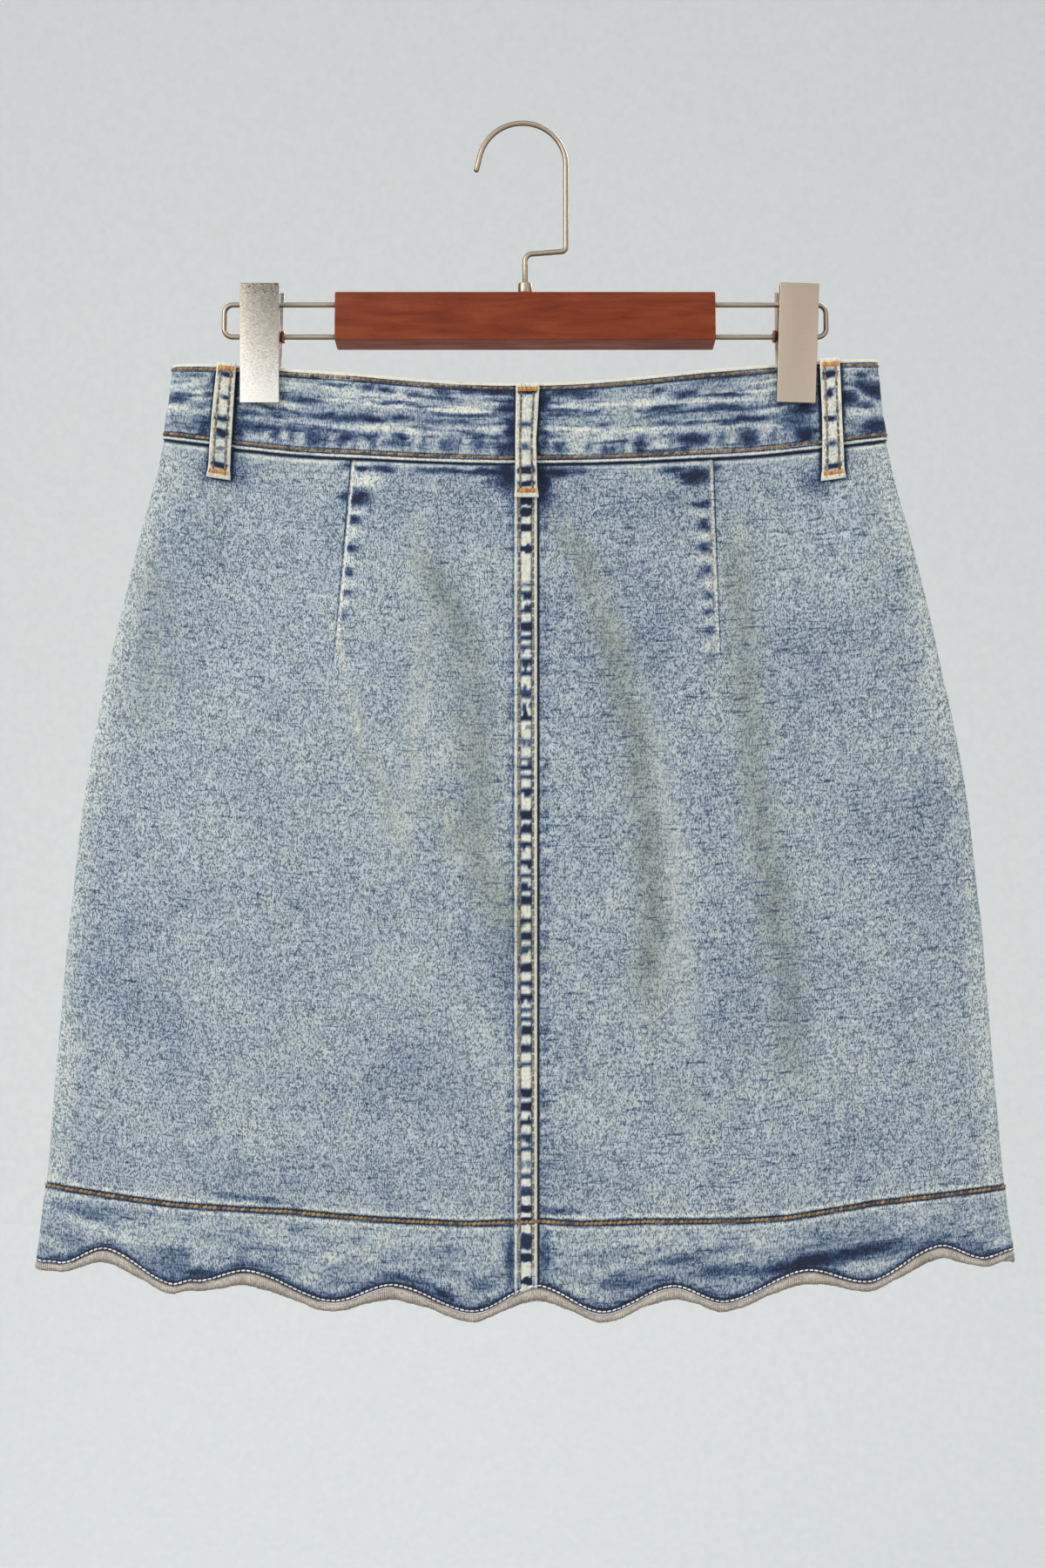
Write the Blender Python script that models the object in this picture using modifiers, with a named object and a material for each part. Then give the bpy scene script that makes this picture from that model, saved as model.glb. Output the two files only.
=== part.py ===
"""A denim skirt hung by its waistband from a wooden clip hanger.

The frame is in metres with +Z up. Its origin is the highest point inside the hook, where a rail
carries the hanger. The skirt's back faces -Y, its front faces +Y, and the wearer's left is -X.
"""

import math
from collections import namedtuple

import bmesh
import bpy
from mathutils import Vector

MM = 0.001
SHARP_ANGLE = math.radians(40)
BACK, FRONT = -1, 1
LEFT, RIGHT = -1, 1

# ---------------------------------------------------------------- cloth sizes
SEAM_GAP = 0.3 * MM
CLOTH = 1.4 * MM  # one layer of stretch denim, with its nap
LAYERED = 2.4 * MM  # a felled seam, or the shell with its hem facing
WAISTBAND = 2.5 * MM
WAISTBAND_LIFT = 0.9 * MM  # how far the band's face stands proud of the panels
WAIST_DROP = 39.1 * MM  # height of the waistband at the side seams
FACING_DROP = 428.4 * MM  # from the waist edge down to the hem facing's stitching
FACING_LIFT = 0.7 * MM
FACING_RAMP = 4.0 * MM  # the height over which the cloth thickens there
HEM_DROP = 460.6 * MM  # down to the middle line of the scallops

SKIRT_PLANE_Y = -14.6 * MM  # the plane in which back and front meet at the side seams
WAIST_SIDE_Z = -129.6 * MM
FOLD_RADIUS = 3.6 * MM  # how tightly the cloth turns at the side seams
PILLOW_POWER = 2.2

# One row for each section round the skirt. drop runs down the left side seam from the waist edge,
# dip is how much lower the middle hangs than the sides, rise is how much higher the right side
# lies than the left, and the depths are the middle's bulge.
Section = namedtuple("Section", "drop half_width dip dip_power rise back_depth front_depth")
SECTIONS = (
    Section(0.0, 183.0, 12.0, 2.6, 2.6, 8.5, 6.5),  # waist edge
    Section(20.0, 185.2, 12.8, 1.8, 1.0, 10.0, 7.5),
    Section(39.1, 188.6, 13.8, 1.0, -0.5, 11.5, 8.5),  # waist seam
    Section(64.0, 193.9, 13.8, 1.0, -0.5, 13.0, 9.4),
    Section(85.0, 199.8, 13.9, 1.0, -0.5, 14.2, 10.0),
    Section(128.0, 210.6, 14.0, 1.0, -0.5, 16.0, 11.0),
    Section(178.0, 221.8, 14.2, 1.0, -0.5, 17.2, 11.5),
    Section(219.0, 229.4, 14.5, 1.0, -0.5, 17.6, 12.0),  # hip
    Section(267.0, 235.1, 14.8, 1.0, -0.5, 17.2, 12.0),
    Section(305.0, 239.3, 15.0, 1.0, -0.5, 16.6, 11.8),
    Section(378.0, 245.4, 15.5, 1.0, -0.5, 15.9, 11.4),
    Section(428.4, 249.8, 15.9, 1.0, -0.5, 15.2, 11.0),  # hem facing's stitching
    Section(460.6, 254.0, 23.4, 1.0, 2.4, 14.6, 10.6),  # middle line of the scallops
    Section(490.0, 257.5, 29.0, 1.0, 4.0, 14.2, 10.4),
)

SCALLOP_COUNT = 14
SCALLOP_PITCH = 72.5 * MM
SCALLOP_RISE = 6.6 * MM  # half the height of a scallop
SCALLOP_START = 1.6 * MM
SCALLOP_DRIFT = 4.5 * MM  # how unevenly they were cut, at the centre back
SCALLOP_DRIFT_LENGTH = 300.0 * MM
EDGE_HEIGHT = 4.8 * MM  # the satin-stitched edge under the scallops
EDGE_THICKNESSES = (2.0 * MM, 2.8 * MM, 2.8 * MM, 1.6 * MM)  # from its top to its bottom

# Soft troughs, from top to bottom of each, in millimetres across and below the waist edge.
Trough = namedtuple("Trough", "face x_top drop_top x_bottom drop_bottom half_width depth")
TROUGHS = (
    Trough(BACK, -38.0, 70.0, -12.0, 300.0, 15.0, 3.4),
    Trough(BACK, 48.0, 90.0, 86.0, 330.0, 17.0, 4.6),
    Trough(BACK, 112.0, 130.0, 150.0, 380.0, 20.0, 3.0),
    Trough(BACK, -117.0, 90.0, -96.0, 300.0, 20.0, 2.0),
    Trough(BACK, -165.0, 200.0, -190.0, 440.0, 24.0, 1.8),
    Trough(FRONT, -70.0, 70.0, -52.0, 330.0, 20.0, 2.4),
    Trough(FRONT, 64.0, 100.0, 92.0, 350.0, 22.0, 2.6),
    Trough(FRONT, 140.0, 150.0, 170.0, 400.0, 24.0, 1.8),
)

Dart = namedtuple("Dart", "side x_top x_tip")
DARTS = (Dart(LEFT, -89.1, -98.1), Dart(RIGHT, 96.6, 100.0))
DART_LENGTH = 106.0 * MM
DART_DEPTH = 1.1 * MM
DART_HALF_WIDTH = 3.2 * MM
DART_SIDE = 0.016  # how near the next columns lie

SEAM_LIFT = 1.0 * MM  # how far a felled seam's folded edge stands proud

BAND_OVERLAP = 18.0 * MM  # the left end of the waistband, past the centre front
BAND_UNDERLAP = -21.0 * MM
OVERLAP_RAMP = 16.0 * MM

LOOP_WIDTH = 10.8 * MM
LOOP_BOW = 1.7 * MM  # how far the middle stands off
LOOP_GAP = 0.6 * MM
Loop = namedtuple("Loop", "name face x_top x_bottom drop_top drop_bottom")
LOOPS = (
    Loop("belt_loop_center_back", BACK, 0.8, 0.4, 0.4, 56.6),
    Loop("belt_loop_back_left", BACK, -155.4, -159.4, -0.8, 55.2),
    Loop("belt_loop_back_right", BACK, 158.6, 160.8, -0.8, 55.2),
    Loop("belt_loop_front_left", FRONT, -98.0, -99.0, 0.4, 56.6),
    Loop("belt_loop_front_right", FRONT, 98.0, 99.0, 0.4, 56.6),
)

BUTTON_DROP = 20.0 * MM
# The button's radius and height at each turn of its profile, in millimetres, from its face down.
BUTTON_PROFILE = (
    (0.0, 4.1),
    (5.2, 4.1),
    (6.0, 4.6),
    (7.4, 4.6),
    (8.5, 3.8),
    (8.5, 3.0),
    (7.2, 2.2),
    (4.0, 2.0),
    (4.0, 0.0),
    (0.0, 0.0),
)

# ---------------------------------------------------------------- hanger sizes
HANGER_TILT = math.radians(-6.0)  # the bar hangs a little in front of the hook
WIRE_RADIUS = 1.3 * MM
HOOK_WIRE_RADIUS = 1.35 * MM
HOOK_RADIUS = 22.9 * MM
HOOK_TIP_ANGLE = math.radians(166.0)
HOOK_TIP_LENGTH = 9.0 * MM  # the straight end beyond the arc
HOOK_OFFSET = 21.4 * MM  # from the stem to the foot of the hook's upright
HOOK_CORNER, HOOK_BEND = 2.6 * MM, 4.0 * MM  # the radii of the two bends under the upright
HOOK_STEM = 17.0 * MM  # from the ferrule up to the stretch between those bends
HOOK_SLOPE = math.radians(4.0)  # how much that stretch falls towards the stem
HOOK_FALL = 1.2 * MM
BAR_LENGTH, BAR_DEPTH, BAR_HEIGHT = 198.0 * MM, 18.0 * MM, 25.8 * MM
BAR_BEVEL = 0.8 * MM
BAR_CENTRE_Z = -106.2 * MM
RAIL_GAP = 17.3 * MM  # between the two wires of each clip rail
RAIL_END = 158.8 * MM - WIRE_RADIUS
RAIL_CORNER = 4.6 * MM
FERRULE_RADIUS, FERRULE_HEIGHT = 3.6 * MM, 7.3 * MM
FERRULE_WAIST = 0.5 * MM  # how far its foot and its top edge are turned in

CLIP_WIDTH, CLIP_HEIGHT = 20.4 * MM, 62.2 * MM
CLIP_SHEET = 1.0 * MM
SLEEVE_RADIUS = 2.9 * MM
EYELET_RADIUS, EYELET_LENGTH = 3.3 * MM, 1.8 * MM
CLIP_PLAY = 0.6 * MM  # between a clip and the wire that carries it
CLIP_TOP_Z = -87.7 * MM
CLIP_BOTTOM_Z = CLIP_TOP_Z - CLIP_HEIGHT
PAD_THICKNESS = 1.2 * MM
PAD_HEIGHT = 15.0 * MM
PAD_BEVEL = 0.25 * MM
PAD_ABOVE_EDGE = 1.4 * MM  # from a jaw's lower edge to its pad
CHEEK_INSET = 0.8 * MM  # the cheeks stop short of the plates' ends
CHEEK_DEPTH = 3.0 * MM
CHEEK_AT_PAD = 1.0 * MM  # how deep the cheeks are beside the pads
CHEEK_TAPER_Z = -12.5 * MM  # where they have narrowed to that, below the wire
EAR = 3.2 * MM  # half the size of the ears round the wire
EAR_RISE = 8.0 * MM
REAR_BEND = 22.0 * MM  # from the rear plate's lower edge to its bend
REAR_SPLAY = 13.0 * MM  # how far its finger end stands back
Clip = namedtuple("Clip", "name x lean")
CLIPS = (Clip("left", -138.0, 0.0), Clip("right", 141.8, 1.75))

# The clips press back and front together: out to this half depth, over this reach.
PINCH_DEPTH = 2.0 * MM
PINCH_HALF_WIDTH = CLIP_WIDTH / 2 + 1.2 * MM
PINCH_INWARD, PINCH_OUTWARD = 46.0 * MM, 20.0 * MM
PINCH_HEIGHT = 24.0 * MM
PINCH_FADE = 150.0 * MM
PINCH_SPREAD = 0.35  # how fast the pinched area widens inwards below the clips


# ---------------------------------------------------------------- small helpers
def smooth(value):
    """Eases from 0 to 1."""
    held = max(0.0, min(1.0, value))
    return held * held * (3 - 2 * held)


def between(start, end, share):
    return start + (end - start) * share


def spread(start, end, count):
    return [between(start, end, index / count) for index in range(count + 1)]


def section_at(drop):
    """The skirt's section at any drop, on a smooth curve through the rows of SECTIONS."""
    wanted = drop / MM
    last = len(SECTIONS) - 1
    at = next((i for i in range(1, last) if SECTIONS[i].drop >= wanted), last)
    rows = [SECTIONS[max(0, min(last, at + step))] for step in (-2, -1, 0, 1)]
    span = rows[2].drop - rows[1].drop
    share = (wanted - rows[1].drop) / span
    values = []
    for before, low, high, after in zip(*rows):
        slope_low = (high - before) / max(rows[2].drop - rows[0].drop, span) * span
        slope_high = (after - low) / max(rows[3].drop - rows[1].drop, span) * span
        cube, square = share**3, share**2
        values.append(
            low * (2 * cube - 3 * square + 1)
            + slope_low * (cube - 2 * square + share)
            + high * (3 * square - 2 * cube)
            + slope_high * (cube - square)
        )
    return Section(*values)


# ---------------------------------------------------------------- the cloth's surface
def pinch(x, drop):
    """How strongly the clips press the cloth flat here, from 0 to 1."""
    most = 0.0
    for clip in CLIPS:
        away = abs(x) - abs(clip.x * MM) if x * clip.x > 0 else PINCH_FADE
        below = max(0.0, drop - PINCH_HEIGHT)
        reach = PINCH_INWARD + PINCH_SPREAD * below if away < 0 else PINCH_OUTWARD
        across = 1 - smooth((abs(away) - PINCH_HALF_WIDTH) / reach)
        most = max(most, across * (1 - smooth(below / PINCH_FADE)))
    return most


def troughs(face, x, drop):
    """The depth of the soft folds here."""
    depth = 0.0
    for trough in TROUGHS:
        if trough.face != face:
            continue
        along = (drop / MM - trough.drop_top) / (trough.drop_bottom - trough.drop_top)
        if not 0 < along < 1:
            continue
        centre = between(trough.x_top, trough.x_bottom, along) * MM
        away = (x - centre) / (trough.half_width * MM)
        depth += trough.depth * MM * math.exp(-away * away) * math.sin(math.pi * along) ** 2
    return depth


def cloth_point(face, across, drop, lift=0.0):
    """A point of the cloth's outer face.

    across runs from -1 to 1 over the nearly flat middle, and on to -2 or 2 round the fold at
    the side seam. lift moves the point out of the surface.
    """
    section = section_at(drop)
    half_width = section.half_width * MM
    flat = half_width - FOLD_RADIUS
    side = math.copysign(1.0, across)
    if abs(across) <= 1:
        x = across * flat
        most = (section.back_depth if face == BACK else section.front_depth) * MM
        rise = 1 - abs(across) ** PILLOW_POWER
        depth = FOLD_RADIUS + (most - FOLD_RADIUS) * rise
        depth -= troughs(face, x, drop) * rise
        pressed = pinch(x, drop)
        depth = between(depth, PINCH_DEPTH, pressed) + lift
    else:
        turn = (abs(across) - 1) * math.pi / 2
        radius = FOLD_RADIUS + lift
        x = side * (flat + radius * math.sin(turn))
        depth = radius * math.cos(turn)
    share = min(1.0, abs(x) / half_width)
    dip = section.dip * MM * (1 - share * share) ** section.dip_power
    height = WAIST_SIDE_Z - drop - dip + section.rise * MM * (x / half_width + 1) / 2
    return Vector((x, SKIRT_PLANE_Y + face * (SEAM_GAP / 2 + depth), height))


def across_at(x, drop):
    return x / (section_at(drop).half_width * MM - FOLD_RADIUS)


def scallop(face, x):
    """How far the scalloped edge hangs below its middle line, at x."""
    half_round = SCALLOP_COUNT * SCALLOP_PITCH / 2
    if face == BACK:
        drift = SCALLOP_DRIFT * math.cos(math.pi * x / SCALLOP_DRIFT_LENGTH)
        way = x - drift
    else:
        way = math.copysign(half_round, x) - x
    return -SCALLOP_RISE * math.cos(2 * math.pi * (way - SCALLOP_START) / SCALLOP_PITCH)


def dart_x(side, drop):
    """Where a dart's line runs, on down to the hem."""
    line = next(dart for dart in DARTS if dart.side == side)
    share = (drop - WAIST_DROP) / DART_LENGTH
    return between(line.x_top, line.x_tip, share) * MM


def dart(side, x, drop):
    """The depth of the crease that a back dart makes."""
    sewn = (drop - WAIST_DROP) / DART_LENGTH
    if sewn > 1:
        return 0.0
    away = (x - dart_x(side, drop)) / DART_HALF_WIDTH
    return DART_DEPTH * (1 - sewn) ** 0.5 * math.exp(-away * away)


# ---------------------------------------------------------------- making solids
def material(name, colour, roughness, metallic=0.0):
    made = bpy.data.materials.get(name)
    if made is None:
        made = bpy.data.materials.new(name)
        made.use_nodes = True
        shader = made.node_tree.nodes["Principled BSDF"]
        shader.inputs["Base Color"].default_value = (*colour, 1.0)
        shader.inputs["Roughness"].default_value = roughness
        shader.inputs["Metallic"].default_value = metallic
    return made


def denim():
    return material("acid washed denim", (0.25, 0.34, 0.46), 0.9)


def stitching():
    return material("satin stitch", (0.50, 0.44, 0.40), 0.85)


def nickel():
    return material("brushed nickel", (0.62, 0.58, 0.54), 0.35, 1.0)


def add_object(name, data, finish, parent=None):
    made = bpy.data.objects.new(name, data)
    data.materials.clear()
    data.materials.append(finish)
    SKIRT_ON_HANGER.objects.link(made)
    made.parent = parent
    return made


def add_mesh(name, mesh, finish, parent=None):
    data = bpy.data.meshes.new(name)
    mesh.to_mesh(data)
    mesh.free()
    return add_object(name, data, finish, parent)


def cloth_wall(name, columns, rows, place, finish):
    """A closed wall of cloth over a grid of columns and rows.

    place gives a column and row's face, its place across and down, the lift of its outer side
    and the thickness of the cloth there. A thickened flat grid is moved onto those points.
    """
    mesh = bmesh.new()
    last_column, last_row = len(columns) - 1, len(rows) - 1
    bmesh.ops.create_grid(mesh, x_segments=last_column, y_segments=last_row, size=0.5)
    bmesh.ops.solidify(mesh, geom=mesh.faces[:], thickness=1.0)
    middle = sum(vertex.co.z for vertex in mesh.verts) / len(mesh.verts)
    for vertex in mesh.verts:
        column = columns[round((vertex.co.x + 0.5) * last_column)]
        row = rows[round((vertex.co.y + 0.5) * last_row)]
        face, across, drop, lift, thickness = place(column, row)
        level = lift if vertex.co.z > middle else lift - thickness
        vertex.co = cloth_point(face, across, drop, level)
    if mesh.calc_volume(signed=True) < 0:
        bmesh.ops.reverse_faces(mesh, faces=mesh.faces)
    made = add_mesh(name, mesh, finish)
    made.data.shade_smooth()
    made.data.set_sharp_from_angle(angle=SHARP_ANGLE)
    return made


# ---------------------------------------------------------------- panels
ROUND_COLUMNS = 4
INNER_COLUMNS, OUTER_COLUMNS = 11, 13  # on each side of the dart's line
BODY_ROWS = 9
HEM_ROWS = 3
DART_COLUMN = 0.5  # the column that follows the dart's line

# The skirt's quarters. A felled seam, where there is one, runs from strip_x to its fold at seam_x.
Quarter = namedtuple("Quarter", "name face side seam_x strip_x")
QUARTERS = (
    Quarter("back_panel_left", BACK, LEFT, 6.2, -7.8),
    Quarter("back_panel_right", BACK, RIGHT, 6.5, 6.5),
    Quarter("front_panel_left", FRONT, LEFT, 3.0, -9.0),
    Quarter("front_panel_right", FRONT, RIGHT, 3.3, 3.3),
)


def quarter_columns(quarter):
    """Columns from the middle seam to the side.

    -1 to 0 is the felled seam, 0 to 1 the flat cloth and 1 to 2 the fold at the side.
    """
    strip = [-1.0, -0.55, -0.19] if quarter.strip_x != quarter.seam_x else []
    inner = spread(0.0, DART_COLUMN - DART_SIDE, INNER_COLUMNS)
    outer = spread(DART_COLUMN + DART_SIDE, 1.0, OUTER_COLUMNS)
    return strip + inner + [DART_COLUMN] + outer + spread(1.0, 2.0, ROUND_COLUMNS)[1:]


def across_of(quarter, column, drop):
    """The place across for a column of a quarter."""
    if column < 0:
        return across_at(between(quarter.seam_x, quarter.strip_x, column + 1) * MM, drop)
    if column > 1:
        return quarter.side * column
    along_dart = across_at(dart_x(quarter.side, drop), drop)
    inner = across_at(quarter.strip_x * MM, drop)
    if column < DART_COLUMN:
        return between(inner, along_dart, column / DART_COLUMN)
    return between(along_dart, quarter.side, (column - DART_COLUMN) / (1 - DART_COLUMN))


def hem_spot(quarter, column, below=0.0):
    """The place across and the drop of the scalloped edge, on a column."""
    drop = HEM_DROP
    for _ in range(3):  # the edge's drop depends on x, and x a little on the drop
        across = across_of(quarter, column, drop)
        drop = HEM_DROP + below + scallop(quarter.face, cloth_point(quarter.face, across, drop).x)
    return across, drop


def make_panel(quarter):
    def place(column, row):
        if row <= 1:
            drop = between(WAIST_DROP + SEAM_GAP / 2, FACING_DROP, row)
        else:
            drop = between(FACING_DROP, hem_spot(quarter, column)[1], row - 1)
        across = across_of(quarter, column, drop)
        on_facing = smooth((drop - FACING_DROP) / FACING_RAMP)
        on_strip = 1.0 if -1 <= column < -0.1 else 0.0
        lift = FACING_LIFT * on_facing + SEAM_LIFT * on_strip
        if quarter.face == BACK:
            lift -= dart(quarter.side, cloth_point(quarter.face, across, drop).x, drop)
        thickness = between(CLOTH, LAYERED, max(on_facing, on_strip))
        return quarter.face, across, drop, lift, thickness

    rows = spread(0.0, 1.0, BODY_ROWS) + [1.11] + spread(1.0, 2.0, HEM_ROWS)[1:]
    return cloth_wall(quarter.name, quarter_columns(quarter), rows, place, denim())


# ---------------------------------------------------------------- waistband
BAND_COLUMNS = 36
COLUMN_MARGIN = 0.016  # no two columns lie nearer
BAND_ROWS = 3


def overlap_lift(x):
    """How much the band's left end is raised, where it laps over the right end at the front."""
    start = BAND_UNDERLAP - 1.2 * MM
    return (WAISTBAND + SEAM_GAP) * smooth((x - start + OVERLAP_RAMP) / OVERLAP_RAMP)


def make_band(name, face, start=None, end=None, overlaps=False):
    """A length of waistband between two x, or as far as the side seams."""
    rounds = spread(1.0, 2.0, ROUND_COLUMNS)[1:]
    low = -2.0 if start is None else across_at(start, 0.0)
    high = 2.0 if end is None else across_at(end, 0.0)
    beside_clips = [
        across_at(clip.x * MM + side * PINCH_HALF_WIDTH, 0.0) for clip in CLIPS for side in (-1, 1)
    ]
    free = [
        across
        for across in spread(-1.0, 1.0, BAND_COLUMNS)
        if all(abs(across - beside) > COLUMN_MARGIN for beside in beside_clips)
    ]
    every = sorted([-turn for turn in rounds] + free + beside_clips + rounds)
    kept = [across for across in every if low + COLUMN_MARGIN < across < high - COLUMN_MARGIN]
    columns = [low] + kept + [high]
    rows = spread(0.0, WAIST_DROP - SEAM_GAP / 2, BAND_ROWS)

    def place(across, drop):
        lift = WAISTBAND_LIFT
        if overlaps:
            lift += overlap_lift(cloth_point(face, across, drop).x)
        return face, across, drop, lift, WAISTBAND

    return cloth_wall(name, columns, rows, place, denim())


def make_bands():
    make_band("waistband_back", BACK)
    make_band("waistband_front_left", FRONT, end=BAND_OVERLAP, overlaps=True)
    make_band("waistband_front_right", FRONT, start=BAND_UNDERLAP)


# ---------------------------------------------------------------- scalloped edge
def make_scalloped_edge(name, left, right):
    """The satin-stitched roll under the scallops of two quarters, from side seam to side seam."""
    columns = [(left, column) for column in reversed(quarter_columns(left))]
    columns += [(right, column) for column in quarter_columns(right)]
    last = len(EDGE_THICKNESSES) - 1

    def place(column, row):
        across, drop = hem_spot(*column, below=SEAM_GAP + EDGE_HEIGHT * row / last)
        thickness = EDGE_THICKNESSES[row]
        lift = FACING_LIFT + (thickness - LAYERED) / 2
        return left.face, across, drop, lift, thickness

    return cloth_wall(name, columns, range(last + 1), place, stitching())


# ---------------------------------------------------------------- belt loops and button
LOOP_END = 0.055  # the share of a loop that is folded under and sewn down at each end
LOOP_ROWS = (0.0, LOOP_END, 0.12, 0.22, 0.34, 0.46, 0.58, 0.69, 0.78, 0.87, 1 - LOOP_END, 1.0)


LOOP_SLOPE = 0.12  # the share of its length in which a loop comes off the band


def make_belt_loop(loop):
    """A strap sewn down at both ends, standing off the band between them."""
    half = LOOP_WIDTH / 2
    length = (loop.drop_bottom - loop.drop_top) * MM
    seam_row = (WAIST_DROP - loop.drop_top * MM) / length
    over_strip = abs(loop.x_bottom) < LOOP_WIDTH / MM

    def place(column, row):
        drop = loop.drop_top * MM + length * row
        x = between(loop.x_top, loop.x_bottom, row) * MM + column
        below = SEAM_LIFT if over_strip else 0.0
        under = between(WAISTBAND_LIFT, below, smooth((row - seam_row) / LOOP_SLOPE - 0.25))
        bow = LOOP_BOW * math.sin(math.pi * row) ** 0.8
        ends = row <= LOOP_END or row >= 1 - LOOP_END
        thickness = LAYERED if ends else CLOTH
        lift = under + LOOP_GAP + bow + thickness
        return loop.face, across_at(x, drop), drop, lift, thickness

    return cloth_wall(loop.name, (-half, 0.0, half), LOOP_ROWS, place, denim())


def turned(name, profile, finish, parent=None, steps=24):
    """A solid turned about its own Z axis, from (radius, height) pairs, top to bottom."""
    mesh = bmesh.new()
    points = [mesh.verts.new((radius, 0.0, height)) for radius, height in profile]
    for first, second in zip(points, points[1:]):
        mesh.edges.new((first, second))
    made = add_mesh(name, mesh, finish, parent)
    lathe = made.modifiers.new("lathe", "SCREW")
    lathe.steps = lathe.render_steps = steps
    lathe.use_merge_vertices = True
    lathe.merge_threshold = 0.00001
    return made


def make_button():
    """The shank button that closes the waistband at the centre front."""
    lift = WAISTBAND_LIFT + overlap_lift(0.0) + SEAM_GAP
    profile = [(radius * MM, height * MM) for radius, height in BUTTON_PROFILE]
    made = turned("waist_button", profile, nickel())
    made.location = cloth_point(FRONT, 0.0, BUTTON_DROP, lift)
    made.rotation_euler = (-math.pi / 2, 0.0, 0.0)
    made.data.shade_smooth()
    return made


# ---------------------------------------------------------------- hanger
def arc(centre, radius, start, end, count):
    """Points of an arc in the XZ plane."""
    return [
        (centre[0] + radius * math.cos(angle), 0.0, centre[1] + radius * math.sin(angle))
        for angle in spread(start, end, count)
    ]


def make_wire(name, points, radius, finish, parent):
    """A round wire along points, with closed ends."""
    data = bpy.data.curves.new(name, "CURVE")
    data.dimensions = "3D"
    data.bevel_depth = radius
    data.bevel_resolution = 2
    data.use_fill_caps = True
    spline = data.splines.new("POLY")
    spline.points.add(len(points) - 1)
    for point, spot in zip(spline.points, points):
        point.co = (*spot, 1.0)
    return add_object(name, data, finish, parent)


def bevelled_box(name, size, finish, parent, width, segments):
    mesh = bmesh.new()
    bmesh.ops.create_cube(mesh, size=1.0)
    bmesh.ops.scale(mesh, vec=size, verts=mesh.verts)
    made = add_mesh(name, mesh, finish, parent)
    rounded = made.modifiers.new("rounded", "BEVEL")
    rounded.width = width
    rounded.segments = segments
    return made


def make_hook(hanger):
    """The hook: over the rail, down its upright, and back in to the stem above the bar."""
    top = (0.0, HOOK_WIRE_RADIUS - HOOK_RADIUS)
    stem_end = BAR_CENTRE_Z + BAR_HEIGHT / 2 + FERRULE_HEIGHT + SEAM_GAP
    shelf_z = stem_end + HOOK_STEM
    over = arc(top, HOOK_RADIUS, HOOK_TIP_ANGLE, 0.0, 20)
    along = Vector((-math.sin(HOOK_TIP_ANGLE), 0.0, math.cos(HOOK_TIP_ANGLE)))
    points = [tuple(Vector(over[0]) + along * HOOK_TIP_LENGTH)] + over
    outer = (HOOK_OFFSET - HOOK_CORNER, shelf_z + HOOK_CORNER)
    points += arc(outer, HOOK_CORNER, 0.0, -math.pi / 2, 4)
    inner = (HOOK_BEND, shelf_z - HOOK_FALL - HOOK_BEND)
    points += arc(inner, HOOK_BEND, math.pi / 2 - HOOK_SLOPE, math.pi, 5)
    points.append((0.0, 0.0, stem_end))
    return make_wire("hanger_hook", points, HOOK_WIRE_RADIUS, nickel(), hanger)


def make_bar(hanger):
    wood = material("stained beech", (0.29, 0.075, 0.03), 0.45)
    size = (BAR_LENGTH, BAR_DEPTH, BAR_HEIGHT)
    made = bevelled_box("hanger_bar", size, wood, hanger, BAR_BEVEL, 2)
    made.location.z = BAR_CENTRE_Z
    bar_top = BAR_CENTRE_Z + BAR_HEIGHT / 2 + SEAM_GAP / 2
    height = FERRULE_HEIGHT - SEAM_GAP / 2
    inner = FERRULE_RADIUS - FERRULE_WAIST
    profile = (
        (0.0, height),
        (inner, height),
        (FERRULE_RADIUS, height - FERRULE_WAIST),
        (FERRULE_RADIUS, height / 2),
        (inner, height / 2 - FERRULE_WAIST),
        (inner, 0.0),
        (0.0, 0.0),
    )
    ferrule = turned("hook_ferrule", profile, nickel(), hanger)
    ferrule.location.z = bar_top


def make_rail(hanger, name, side):
    """The long wire loop that stands out of one end of the bar and carries a clip."""
    start = BAR_LENGTH / 2 + SEAM_GAP
    half = RAIL_GAP / 2
    inside = RAIL_END - RAIL_CORNER
    straight = spread(start, inside, 4)[:-1]
    points = [(x, 0.0, half) for x in straight]
    points += arc((inside, half - RAIL_CORNER), RAIL_CORNER, math.pi / 2, 0.0, 5)
    points += arc((inside, RAIL_CORNER - half), RAIL_CORNER, 0.0, -math.pi / 2, 5)
    points += [(x, 0.0, -half) for x in reversed(straight)]
    placed = [(side * x, y, z + BAR_CENTRE_Z) for x, y, z in points]
    return make_wire(name, placed, WIRE_RADIUS, nickel(), hanger)


def outline_plate(name, outline, thickness, finish, parent):
    """A flat plate in the YZ plane, cut to outline, as a mesh."""
    data = bpy.data.curves.new(name, "CURVE")
    data.dimensions = "2D"
    data.fill_mode = "BOTH"
    data.extrude = thickness / 2
    spline = data.splines.new("POLY")
    spline.points.add(len(outline) - 1)
    for point, (y, z) in zip(spline.points, outline):
        point.co = (y, z, 0.0, 1.0)
    spline.use_cyclic_u = True
    flat = bpy.data.objects.new(name, data)
    bpy.context.scene.collection.objects.link(flat)
    bpy.context.view_layer.update()
    mesh = bpy.data.meshes.new_from_object(flat.evaluated_get(bpy.context.evaluated_depsgraph_get()))
    bpy.data.objects.remove(flat)
    work = bmesh.new()
    work.from_mesh(mesh)
    bmesh.ops.remove_doubles(work, verts=work.verts, dist=0.00001)
    for vertex in work.verts:
        vertex.co = (vertex.co.z, vertex.co.x, vertex.co.y)
    bmesh.ops.recalc_face_normals(work, faces=work.faces)
    return add_mesh(name, work, finish, parent)


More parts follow.
